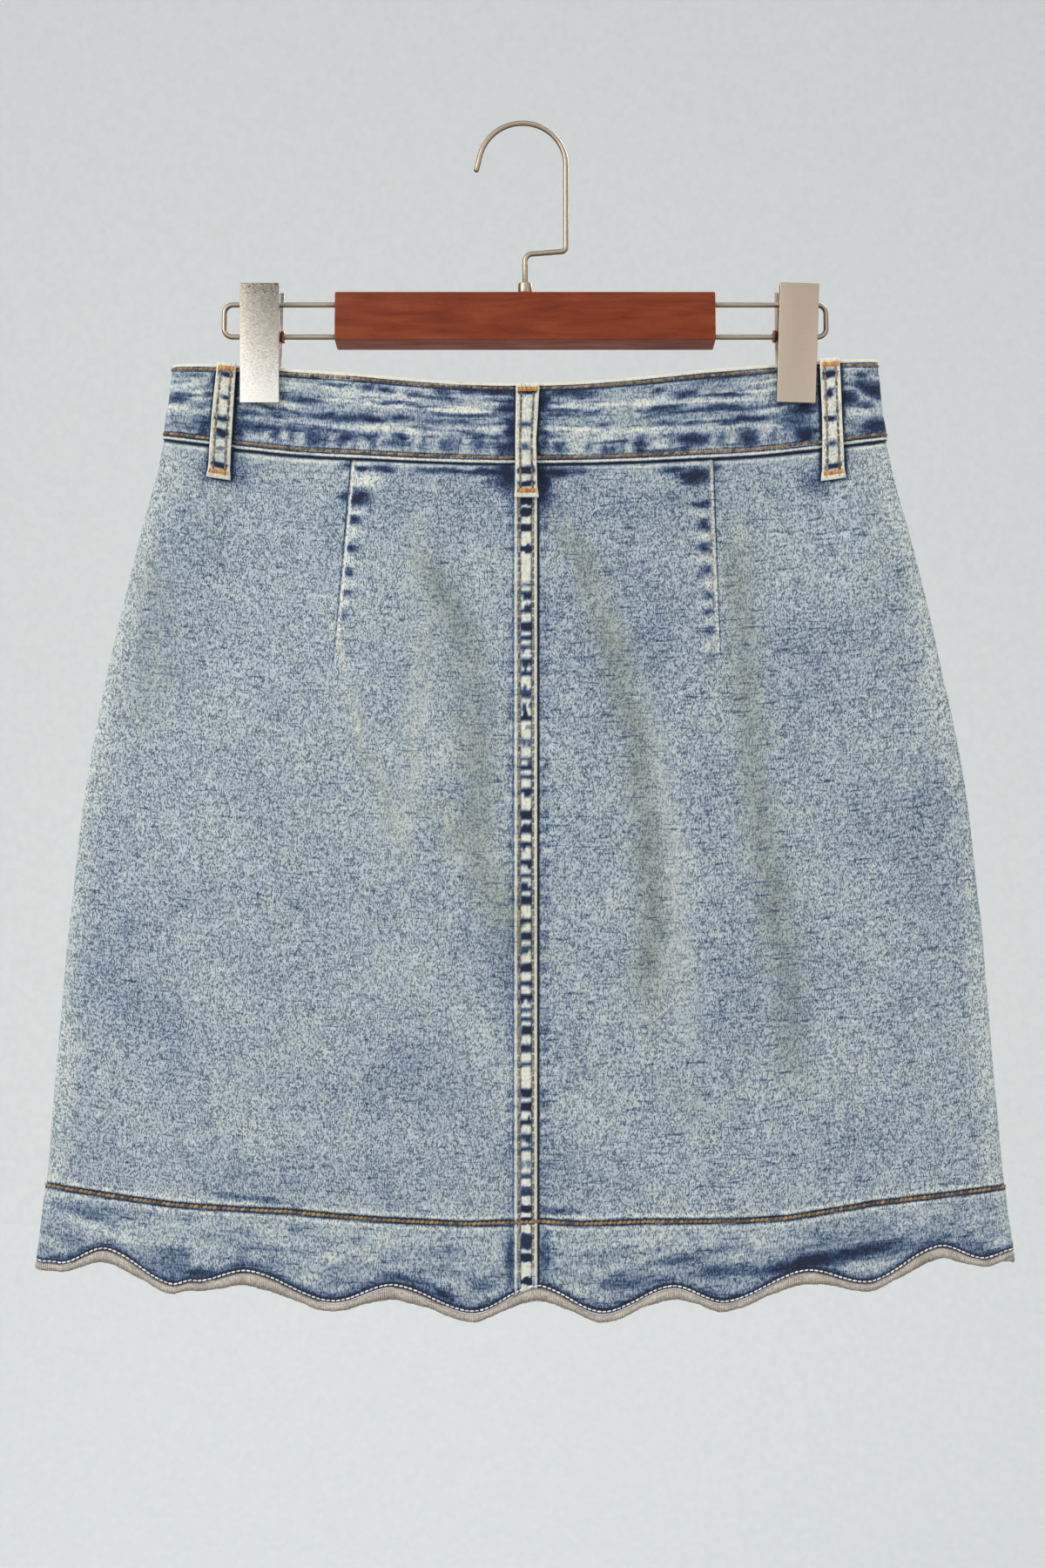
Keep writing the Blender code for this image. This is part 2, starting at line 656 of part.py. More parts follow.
def helper_cutter(made):
    """Keeps a Boolean's tool out of the model."""
    SKIRT_ON_HANGER.objects.unlink(made)
    CUTTERS.objects.link(made)
    made.hide_render = True
    made.display_type = "WIRE"
    return made


def add_boolean(made, tool, operation):
    cut = made.modifiers.new(tool.name, "BOOLEAN")
    cut.operation = operation
    cut.object = tool


def rod_cutter(name, length, radius, parent, location):
    mesh = bmesh.new()
    bmesh.ops.create_cone(
        mesh, cap_ends=True, segments=16, radius1=radius, radius2=radius, depth=length
    )
    made = helper_cutter(add_mesh(name, mesh, nickel(), parent))
    made.rotation_euler.y = math.pi / 2
    made.location = location
    return made


def make_clip_half(clip, holder, name, outline, cheek_x, cheek_outline, pivot, sleeve=0.0):
    """One jaw of a clip: a bent plate with a cheek at each side that turns on the lower wire.

    A jaw with a sleeve also carries the tube, of that radius, that its spring is wound on.
    """
    plate = outline_plate(f"clip_{clip.name}_{name}", outline, CLIP_WIDTH, nickel(), holder)
    for side in (LEFT, RIGHT):
        cheek = outline_plate(
            f"cheek_{clip.name}_{name}_{side}", cheek_outline, CLIP_SHEET, nickel(), holder
        )
        cheek.location.x = side * cheek_x
        add_boolean(plate, helper_cutter(cheek), "UNION")
    if sleeve:
        tube = rod_cutter(f"sleeve_{clip.name}", 2 * cheek_x, sleeve, holder, pivot)
        add_boolean(plate, tube, "UNION")
    bore = rod_cutter(
        f"bore_{clip.name}_{name}", CLIP_WIDTH * 2, WIRE_RADIUS + CLIP_PLAY, holder, pivot
    )
    add_boolean(plate, bore, "DIFFERENCE")
    return plate


def front_outlines(y, top, bottom, pivot_y):
    """The front plate's and its cheeks' outlines, as (y, z). y is the plate's inner face."""
    plate = ((y, top), (y - CLIP_SHEET, top), (y - CLIP_SHEET, bottom), (y, bottom))
    middle = y - CLIP_SHEET / 2
    cheek = (
        (middle, top - CHEEK_INSET),
        (y + CHEEK_DEPTH, top - CHEEK_INSET),
        (y + CHEEK_DEPTH, EAR + EAR_RISE),
        (pivot_y + EAR, EAR),
        (pivot_y + EAR, -EAR),
        (y + CHEEK_AT_PAD, CHEEK_TAPER_Z),
        (y + CHEEK_AT_PAD, bottom + CHEEK_INSET),
        (middle, bottom + CHEEK_INSET),
    )
    return plate, cheek


def rear_outlines(y, top, bottom, pivot_y):
    """The same for the rear plate, which is bent back above the jaw for the fingers."""
    bend_z = bottom + REAR_BEND

    def splayed(z):
        return y + REAR_SPLAY * max(0.0, z - bend_z) / (top - bend_z)

    plate = (
        (y, bottom),
        (y + CLIP_SHEET, bottom),
        (y + CLIP_SHEET, bend_z),
        (y + CLIP_SHEET + REAR_SPLAY, top),
        (y + REAR_SPLAY, top),
        (y, bend_z),
    )
    cheek_top, shoulder = top - CHEEK_INSET, EAR + EAR_RISE
    middle = CLIP_SHEET / 2
    cheek = (
        (splayed(cheek_top) + middle, cheek_top),
        (splayed(cheek_top) - CHEEK_DEPTH, cheek_top),
        (splayed(shoulder) - CHEEK_DEPTH, shoulder),
        (pivot_y - EAR, EAR),
        (pivot_y - EAR, -EAR),
        (y - CHEEK_AT_PAD, CHEEK_TAPER_Z),
        (y - CHEEK_AT_PAD, bottom + CHEEK_INSET),
        (y + middle, bottom + CHEEK_INSET),
        (y + middle, bend_z),
    )
    return plate, cheek


def make_clip(clip):
    """A spring clip: two jaws with pads, and an eyelet, round the lower wire."""
    rail_z = BAR_CENTRE_Z - RAIL_GAP / 2
    pivot_y = -rail_z * math.sin(HANGER_TILT)
    pivot_z = rail_z * math.cos(HANGER_TILT)
    holder = bpy.data.objects.new(f"clip_{clip.name}", None)
    SKIRT_ON_HANGER.objects.link(holder)
    holder.location = (clip.x * MM, 0.0, pivot_z)
    holder.rotation_euler.y = math.radians(clip.lean)
    top, bottom = CLIP_TOP_Z - pivot_z, CLIP_BOTTOM_Z - pivot_z
    pivot = (0.0, pivot_y, 0.0)

    cloth_half = PINCH_DEPTH + WAISTBAND_LIFT + SEAM_GAP / 2
    pad_y = cloth_half + SEAM_GAP
    jaw_y = pad_y + PAD_THICKNESS + SEAM_GAP
    outer_x = (CLIP_WIDTH - CLIP_SHEET) / 2
    inner_x = outer_x - CLIP_SHEET - SEAM_GAP
    plate, cheek = front_outlines(SKIRT_PLANE_Y - jaw_y, top, bottom, pivot_y)
    make_clip_half(clip, holder, "front_plate", plate, outer_x, cheek, pivot)
    plate, cheek = rear_outlines(SKIRT_PLANE_Y + jaw_y, top, bottom, pivot_y)
    make_clip_half(clip, holder, "rear_plate", plate, inner_x, cheek, pivot, SLEEVE_RADIUS)

    rubber = material("clip pad rubber", (0.08, 0.07, 0.07), 0.8)
    pad_width = 2 * (inner_x - CLIP_SHEET)
    pad_size = (pad_width, PAD_THICKNESS, PAD_HEIGHT)
    for face, name in ((BACK, "front_pad"), (FRONT, "rear_pad")):
        pad = bevelled_box(f"clip_{clip.name}_{name}", pad_size, rubber, holder, PAD_BEVEL, 1)
        pad.location.y = SKIRT_PLANE_Y + face * (pad_y + PAD_THICKNESS / 2)
        pad.location.z = bottom + PAD_ABOVE_EDGE + PAD_HEIGHT / 2
    make_eyelet(clip, holder, pivot_y)


def make_eyelet(clip, holder, pivot_y):
    """The ring on the wire that keeps the clip's side facing the bar from rubbing."""
    half, hole = EYELET_LENGTH / 2, WIRE_RADIUS + CLIP_PLAY
    profile = (
        (EYELET_RADIUS, half),
        (EYELET_RADIUS, -half),
        (hole, -half),
        (hole, half),
        (EYELET_RADIUS, half),
    )
    copper = material("copper eyelet", (0.55, 0.27, 0.17), 0.4, 1.0)
    made = turned(f"clip_{clip.name}_eyelet", profile, copper, holder, steps=20)
    made.rotation_euler.y = math.pi / 2
    inward = -math.copysign(1.0, clip.x)
    made.location = (inward * (CLIP_WIDTH / 2 + SEAM_GAP + half), pivot_y, 0.0)


def make_hanger():
    hanger = bpy.data.objects.new("hanger", None)
    SKIRT_ON_HANGER.objects.link(hanger)
    hanger.rotation_euler.x = HANGER_TILT
    make_hook(hanger)
    make_bar(hanger)
    make_rail(hanger, "clip_rail_left", LEFT)
    make_rail(hanger, "clip_rail_right", RIGHT)
    for clip in CLIPS:
        make_clip(clip)


def clear_scene():
    for old in list(bpy.data.objects):
        bpy.data.objects.remove(old)


def new_collection(name):
    made = bpy.data.collections.new(name)
    bpy.context.scene.collection.children.link(made)
    return made


clear_scene()
SKIRT_ON_HANGER = new_collection("denim skirt on clip hanger")
CUTTERS = new_collection("cutters")
for each in QUARTERS:
    make_panel(each)
make_bands()
make_scalloped_edge("scalloped_edge_back", *QUARTERS[:2])
make_scalloped_edge("scalloped_edge_front", *QUARTERS[2:])
for each in LOOPS:
    make_belt_loop(each)
make_button()
make_hanger()
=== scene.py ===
import math
from collections import namedtuple
from functools import partial, reduce

import bmesh
import bpy
import numpy as np
from mathutils import Matrix, Vector


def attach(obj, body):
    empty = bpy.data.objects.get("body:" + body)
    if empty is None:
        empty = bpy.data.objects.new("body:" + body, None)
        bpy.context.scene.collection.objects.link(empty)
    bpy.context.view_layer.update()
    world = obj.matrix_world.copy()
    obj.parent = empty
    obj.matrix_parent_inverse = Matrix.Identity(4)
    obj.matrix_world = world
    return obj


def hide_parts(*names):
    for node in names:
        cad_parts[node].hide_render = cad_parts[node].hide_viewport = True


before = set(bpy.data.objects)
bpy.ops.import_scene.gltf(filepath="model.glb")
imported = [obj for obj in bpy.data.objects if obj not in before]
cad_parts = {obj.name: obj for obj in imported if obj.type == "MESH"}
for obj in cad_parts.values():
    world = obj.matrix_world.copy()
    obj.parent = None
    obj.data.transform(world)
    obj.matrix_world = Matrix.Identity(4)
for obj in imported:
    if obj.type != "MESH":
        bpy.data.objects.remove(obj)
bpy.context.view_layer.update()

# Everything below is in millimetres until it is put into a mesh. The skirt hangs with its back
# to -Y, the wearer's left to -X.
MM = 0.001
BACK, FRONT = -1, 1
LEFT, RIGHT = -1, 1

# ---------------- camera
CAMERA_SPOT = (-1.364, -1144.6, -347.9)
HALF_HEIGHT_TAN = 0.36203  # of the angle from the middle of the view to its top


def place_camera():
    """A level camera behind the skirt, a little over a metre away."""
    lens = bpy.data.cameras.new("level view of the back")
    lens.sensor_width = 36.0
    lens.lens = lens.sensor_width / 2 / HALF_HEIGHT_TAN
    lens.clip_end = 20.0
    camera = bpy.data.objects.new("level view of the back", lens)
    camera.location = Vector(CAMERA_SPOT) * MM
    camera.rotation_euler = (math.pi / 2, 0.0, 0.0)
    bpy.context.scene.collection.objects.link(camera)
    bpy.context.scene.camera = camera


place_camera()

# ---------------- the skirt's form
SEAM_GAP = 0.3
CLOTH = 1.4  # one layer of stretch denim, with its nap
LAYERED = 2.4  # a felled seam, or the shell with its hem facing
WAISTBAND = 2.5
WAISTBAND_LIFT = 0.9
WAIST_DROP = 39.1  # the height of the waistband at the side seams
FACING_DROP = 428.4
FACING_LIFT = 0.7
HEM_DROP = 460.6
SKIRT_PLANE_Y = -14.6
WAIST_SIDE_Z = -129.6
FOLD_RADIUS = 3.6
PILLOW_POWER = 2.2

# Down the skirt: drop, half width, dip of the middle, how the dip is spread, rise to the right,
# depth of the back, depth of the front.
SECTIONS = np.array((
    (0, 183, 12, 2.6, 2.6, 8.5, 6.5),
    (20, 185.2, 12.8, 1.8, 1, 10, 7.5),
    (39.1, 188.6, 13.8, 1, -0.5, 11.5, 8.5),
    (64, 193.9, 13.8, 1, -0.5, 13, 9.4),
    (85, 199.8, 13.9, 1, -0.5, 14.2, 10),
    (128, 210.6, 14, 1, -0.5, 16, 11),
    (178, 221.8, 14.2, 1, -0.5, 17.2, 11.5),
    (219, 229.4, 14.5, 1, -0.5, 17.6, 12),
    (267, 235.1, 14.8, 1, -0.5, 17.2, 12),
    (305, 239.3, 15, 1, -0.5, 16.6, 11.8),
    (378, 245.4, 15.5, 1, -0.5, 15.9, 11.4),
    (428.4, 249.8, 15.9, 1, -0.5, 15.2, 11),
    (460.6, 254, 23.4, 1, 2.4, 14.6, 10.6),
    (490, 257.5, 29, 1, 4, 14.2, 10.4),
))

SCALLOP_COUNT = 14
SCALLOP_PITCH = 72.5
SCALLOP_START = 1.6
SCALLOP_DRIFT = 4.5
SCALLOP_DRIFT_LENGTH = 300.0

# Soft folds that hang in the cloth, each from x, drop at its top to x, drop at its bottom, with its
# half width and depth. A negative depth is a ridge.
MAIN_FOLDS = {
    BACK: (
        (-38, 70, -12, 300, 15, 3.4), (48, 90, 86, 330, 17, 4.6), (112, 130, 150, 380, 20, 3.0),
        (-117, 90, -96, 300, 20, 2.0), (-165, 200, -190, 440, 24, 1.8),
    ),
    FRONT: (
        (-70, 70, -52, 330, 20, 2.4), (64, 100, 92, 350, 22, 2.6), (140, 150, 170, 400, 24, 1.8),
    ),
}
# Creases and drag lines under the clips, the darts and the waistband.
SMALL_FOLDS = {
    BACK: (
        (-98, 128, -71, 224, 3.4, -0.5), (100, 140, 90, 215, 4.2, -0.3),
        (-127, 36, -116, 112, 4.6, 0.55), (-147, 34, -160, 128, 5.4, 0.5),
        (-168, 40, -181, 150, 6.5, -0.45), (131, 34, 121, 108, 4.4, 0.5), (152, 36, 163, 140, 5.2, 0.55),
        (172, 50, 190, 166, 6, -0.4), (15, 44, 33, 132, 5, 0.55), (-16, 52, -26, 150, 5.5, 0.45),
        (-58, 60, -44, 190, 7.5, -0.6), (68, 70, 96, 236, 8.5, -0.6), (26, 210, 30, 400, 9, 0.6),
        (-66, 250, -80, 425, 9, 0.55), (130, 300, 137, 424, 8, -0.55), (-214, 170, -228, 330, 8, 0.6),
        (208, 200, 222, 372, 8.5, 0.6), (-138, 330, -146, 436, 7, 0.5), (64, 356, 70, 440, 6, 0.5),
        (186, 352, 192, 446, 7, -0.45),
    ),
    FRONT: (
        (-128, 34, -114, 126, 5, 0.6), (132, 34, 118, 118, 4.8, 0.6), (-150, 40, -170, 150, 6.5, -0.5),
        (156, 44, 176, 170, 6.5, -0.5), (-30, 150, -44, 330, 9, 0.7), (34, 60, 46, 214, 7, 0.6),
        (-96, 220, -118, 420, 9.5, 0.7), (116, 250, 128, 430, 8.5, -0.6), (-196, 190, -214, 380, 9, 0.6),
        (204, 170, 216, 340, 8, 0.6), (8, 240, 20, 410, 8, -0.45),
    ),
}

CLIP_SPOTS = (-138.0, 141.8)
PINCH_DEPTH = 2.0
PINCH_HALF_WIDTH = 11.4
PINCH_INWARD, PINCH_OUTWARD = 46.0, 20.0
PINCH_HEIGHT = 24.0
PINCH_FADE = 150.0
PINCH_SPREAD = 0.35

DART_TOPS = {LEFT: -89.1, RIGHT: 96.6}
DART_TIPS = {LEFT: -98.1, RIGHT: 100.0}
DART_LENGTH = 106.0
DART_DEPTH = 1.1
SEAM_LIFT = 1.0
STRIP_RAMP = 2.2  # how wide the slope is, up to the felled seam or the fly
BAND_OVERLAP, BAND_UNDERLAP = 18.0, -21.0
OVERLAP_RAMP = 16.0


def smooth(value):
    """Held between 0 and 1, with an even start and end."""
    held = np.clip(value, 0.0, 1.0)
    return held * held * (3 - 2 * held)


def between(start, end, share):
    """The value at a share of the way from start to end."""
    return start + (end - start) * share


def hump(away, half_width):
    """A soft bump of height 1, at the place where away is 0."""
    return np.exp(-((away / half_width) ** 2))


def strongest(*values):
    """The largest of several values at each point."""
    return reduce(np.maximum, values)


def way_along(spots):
    """How far along a line each of its points is."""
    return np.concatenate(([0.0], np.cumsum(np.linalg.norm(np.diff(spots, axis=0), axis=1))))


def ripple(place, length, seed):
    """An uneven wave along a seam, from about -1 to 1."""
    turn = place / length * 6.283  # radians
    wave = np.sin(turn + seed) + 0.7 * np.sin(turn * 0.618 + seed * 2.7)
    return (wave + 0.5 * np.sin(turn * 1.73 + seed * 5.1)) / 1.9


def mottle(across, down, size, seed):
    """Smooth uneven lumps of about that size, from -1 to 1, between scattered corner values."""
    u, v = across / size + seed * 17.3, down / size - seed * 9.1
    column, row = np.floor(u), np.floor(v)
    share_u, share_v = smooth(u - column), smooth(v - row)

    def corner(step_u, step_v):
        value = np.sin((column + step_u) * 12.9898 + (row + step_v) * 78.233 + seed * 3.7) * 4375.85
        return 2 * (value - np.floor(value)) - 1

    top = between(corner(0, 0), corner(1, 0), share_u)
    return between(top, between(corner(0, 1), corner(1, 1), share_u), share_v)


def section_at(drop):
    """The columns of SECTIONS at any drop, on a smooth curve."""
    drops, last = SECTIONS[:, 0], len(SECTIONS) - 1
    at = np.clip(np.searchsorted(drops, drop), 1, last)
    before, low, high, after = (SECTIONS[np.clip(at + step, 0, last)] for step in (-2, -1, 0, 1))
    span = (high - low)[..., :1]
    share = (np.asarray(drop, float)[..., None] - low[..., :1]) / span
    slope_low = (high - before) / np.maximum((high - before)[..., :1], span) * span
    slope_high = (after - low) / np.maximum((after - low)[..., :1], span) * span
    cube, square = share**3, share**2
    rows = low * (2 * cube - 3 * square + 1) + slope_low * (cube - 2 * square + share)
    return np.moveaxis(rows + high * (3 * square - 2 * cube) + slope_high * (cube - square), -1, 0)


def pinch(x, drop):
    """How strongly the clips press the cloth flat, from 0 to 1."""
    most = np.zeros_like(x * drop)
    below = np.maximum(0.0, drop - PINCH_HEIGHT)
    for spot in CLIP_SPOTS:
        away = np.where(x * spot > 0, np.abs(x) - abs(spot), PINCH_FADE)
        reach = np.where(away < 0, PINCH_INWARD + PINCH_SPREAD * below, PINCH_OUTWARD)
        pressed = 1 - smooth((np.abs(away) - PINCH_HALF_WIDTH) / reach)
        most = np.maximum(most, pressed * (1 - smooth(below / PINCH_FADE)))
    return most


def fold_depth(folds, face, x, drop):
    """How deep the folds of one side lie, each fading towards its two ends."""
    depth = np.zeros_like(x * drop)
    for x_top, drop_top, x_bottom, drop_bottom, half_width, deepest in folds[face]:
        held = np.clip((drop - drop_top) / (drop_bottom - drop_top), 0.0, 1.0)
        away = x - between(x_top, x_bottom, held)
        depth += deepest * hump(away, half_width) * np.sin(np.pi * held) ** 2
    return depth


def cloth_point(face, across, drop, lift=0.0):
    """Points of the cloth's outer face, as an array with x, y, z last.

    across runs from -1 to 1 over the nearly flat middle, and on to -2 or 2 round the fold at
    the side seam. lift moves a point out of the surface.
    """
    across, drop, lift = np.broadcast_arrays(np.asarray(across, float), drop, lift)
    _, half_width, dip, dip_power, rise, back_depth, front_depth = section_at(drop)
    flat = half_width - FOLD_RADIUS
    side = np.where(across < 0, -1.0, 1.0)
    inner = np.clip(np.abs(across), 0.0, 1.0)
    x = side * inner * flat
    most = back_depth if face == BACK else front_depth
    rounded = 1 - inner**PILLOW_POWER
    depth = FOLD_RADIUS + (most - FOLD_RADIUS - fold_depth(MAIN_FOLDS, face, x, drop)) * rounded
    depth = between(depth, PINCH_DEPTH, pinch(x, drop)) + lift
    turn = np.clip(np.abs(across) - 1, 0.0, 1.0) * np.pi / 2
    on_fold = np.abs(across) > 1
    x = np.where(on_fold, side * (flat + (FOLD_RADIUS + lift) * np.sin(turn)), x)
    depth = np.where(on_fold, (FOLD_RADIUS + lift) * np.cos(turn), depth)
    share = np.clip(np.abs(x) / half_width, 0.0, 1.0)
    height = WAIST_SIDE_Z - drop - dip * (1 - share * share) ** dip_power
    height = height + rise * (x / half_width + 1) / 2
    return np.stack((x, SKIRT_PLANE_Y + face * (SEAM_GAP / 2 + depth), height), axis=-1)


def across_at(x, drop):
    """The place across, from -1 to 1, of a point on the nearly flat middle."""
    return x / (section_at(drop)[1] - FOLD_RADIUS)


def x_at(across, drop):
    """The x of a place across, held at the side fold."""
    return np.clip(across, -1, 1) * (section_at(drop)[1] - FOLD_RADIUS)


def scallop(face, x):
    """How far the scalloped edge hangs below its middle line."""
    if face == BACK:
        way = x - SCALLOP_DRIFT * np.cos(np.pi * x / SCALLOP_DRIFT_LENGTH)
    else:
        way = np.where(x < 0, -1, 1) * SCALLOP_COUNT * SCALLOP_PITCH / 2 - x
    return -np.cos(2 * np.pi * (way - SCALLOP_START) / SCALLOP_PITCH)


def dart_x(side, drop):
    """A dart's line, which leans a little."""
    return between(DART_TOPS[side], DART_TIPS[side], (drop - WAIST_DROP) / DART_LENGTH)


def from_dart(side, x, drop):
    """How far down a dart a point is, from 0 to 1, and how far from its line towards the side."""
    down = np.clip((drop - WAIST_DROP) / DART_LENGTH, 0.0, 1.0)
    return down, (x - dart_x(side, drop)) * side


# ---------------- relief of the sewn cloth
BAND_ROW_DROPS = (2.7, 35.9)  # the two rows of topstitching on the waistband
SEAM_ROWS = {BACK: (-3.2, 4.0), FRONT: (-5.6, 0.4)}  # the two rows down the seam and the fly
STRIP_EDGES = {BACK: -7.8, FRONT: -9.0}  # where the felled seam and the fly begin, on the left
THREAD_PULL = 0.34  # how deep a row of topstitching pulls the cloth in
FACING_PULL, HEM_PULL = 0.38, 0.30
STITCH_TO_EDGE = 1.15
ROLL_HEIGHT, ROLL_DEEPER = 5.1, 1.9  # below the white stitching, and more under its high points
HEM_ROW_DROP = 460.3  # the middle line of the white stitching at the front
HEM_ROW_RISE = 5.2
# The highest and lowest points of the white stitching at the back, cut unevenly by hand: x, drop.
HEM_TURNS = np.array((
    (-256, 466.0), (-243, 464.6), (-217.4, 453.6), (-182.6, 465.4), (-172.1, 462.4), (-143.3, 455.0),
    (-100.2, 465.0), (-68.2, 456.3), (-26.9, 466.6), (5.6, 455.3), (40.8, 467.5), (75.8, 457.6),
    (103.3, 466.4), (144.9, 455.9), (178.5, 465.4), (214.6, 453.3), (240.3, 464.2), (256, 462.0),
))
# How the row that holds the hem facing wanders at the back: x, drop.
FACING_ROW = np.array((
    (-249, 426.8), (-221, 427.6), (-182, 428.4), (-123, 426.8), (-76, 428.0), (-30, 428.8),
    (7, 427.2), (28, 428.7), (62, 428.4), (115, 430.4), (134, 430.6), (183, 427.2), (250, 427.2),
))


def facing_row(face, x):
    """The drop of the row that holds the hem facing."""
    if face == FRONT:
        return FACING_DROP + 0.8 * ripple(x, 95.0, 2.0)
    return np.interp(x, FACING_ROW[:, 0], FACING_ROW[:, 1])


def hem_row(face, x):
    """The drop of the white stitching along the scallops."""
    if face == FRONT:
        return HEM_ROW_DROP + HEM_ROW_RISE * scallop(face, x) + 0.35 * ripple(x, 21.0, 4.0)
    turn = np.clip(np.searchsorted(HEM_TURNS[:, 0], x), 1, len(HEM_TURNS) - 1)
    start, end = HEM_TURNS[turn - 1], HEM_TURNS[turn]
    share = smooth((x - start[..., 0]) / (end - start)[..., 0])
    return between(start[..., 1], end[..., 1], share)


def hem_edge(face, x):
    """Where the denim ends, a little below its white stitching."""
    return hem_row(face, x) + STITCH_TO_EDGE


def drop_along(row, face, across):
    """The drop at which a row, such as hem_row, passes each place across."""
    drop = HEM_DROP + 0 * across
    for _ in range(3):
        drop = row(face, x_at(across, drop))
    return drop


def roll_edge(face, x):
    """The lower side of the satin-stitched roll, which is deeper under the high points."""
    row = hem_row(face, x)
    return row + ROLL_HEIGHT + ROLL_DEEPER * smooth((463.0 - row) / 8.0)


def dart_relief(side, x, drop):
    """A dart's line lies in a crease, with the folded-under cloth as a ridge towards the middle."""
    down, away = from_dart(side, x, drop)
    ridge = 0.62 * hump(away + 1.9, 1.5) * (1 + 0.25 * ripple(drop, 9.0, side))
    line = 0.55 * hump(away, 0.5)
    return (ridge - line - DART_DEPTH * hump(away, 3.2)) * (1 - down) ** 0.5


def panel_lift(face, side, x, drop):
    """How far the outer face of a panel stands off the plain form."""
    row, stitched = drop - facing_row(face, x), drop - hem_row(face, x)
    lift = FACING_LIFT * smooth((row + 1.6) / 3.2)
    lift = lift - FACING_PULL * hump(row, 0.9) - HEM_PULL * hump(stitched, 0.8)
    # The cloth stands in a ridge over the facing's row, puckers along it and waves below it.
    lift = lift + 0.26 * (1 + 0.6 * ripple(x, 9.5, 1.0)) * hump(row + 3.4, 1.7)
    lift = lift + 0.24 * ripple(x, 11.0, face) * np.exp(-np.abs(row) / 6.0)
    lift = lift + 0.30 * ripple(x, 15.0, 3.0 + face) * smooth((row - 6.0) / 24.0)
    # Gathered under the waistband, it puckers there too.
    under_band = np.exp(-np.maximum(drop - WAIST_DROP, 0) / 8.0)
    lift = lift + (0.30 * ripple(x, 9.0, 5.0 + face) - 0.25) * under_band
    lift = lift - fold_depth(SMALL_FOLDS, face, x, drop)
    lift = lift + 0.26 * mottle(x, drop, 41.0, 1 + face) + 0.12 * mottle(x, drop, 17.0, 2 + face)
    if face == BACK:
        lift = lift + dart_relief(side, x, drop)
    if side == LEFT:
        on_strip = smooth((x - STRIP_EDGES[face]) / STRIP_RAMP)
        roped = 0.16 * ripple(drop + 0.8 * x, 12.5, 1.5) + 0.10 * ripple(drop - x, 6.1, 0.4)
        sewn = sum(THREAD_PULL * hump(x - place, 0.8) for place in SEAM_ROWS[face])
        lift = lift + (SEAM_LIFT + roped - sewn) * on_strip
    elif face == BACK:
        pulled = hump(x - 6.0, 4.5)  # beside the strip that laps over it
        lift = lift + 0.18 * ripple(drop, 12.5, 1.9) * pulled - 0.2 * pulled
    return lift


def overlap_lift(x):
    """How much the band's left end is raised, from just before the right end that it laps over."""
    start = BAND_UNDERLAP - 1.2
    return (WAISTBAND + SEAM_GAP) * smooth((x - start + OVERLAP_RAMP) / OVERLAP_RAMP)


def band_lift(face, x, drop, overlaps=False):
    """How far the outer face of the waistband stands off the plain form."""
    lift = WAISTBAND_LIFT + 0.20 * mottle(x, drop, 12.0, 5 + face) + 0.12 * mottle(x, drop, 4.5, 3)
    lift = lift - sum(THREAD_PULL * hump(drop - row, 0.85) for row in BAND_ROW_DROPS)
    lift = lift + 0.16 * ripple(x + 0.5 * drop, 7.4, 2.0 + face)
    return lift + overlap_lift(x) if overlaps else lift


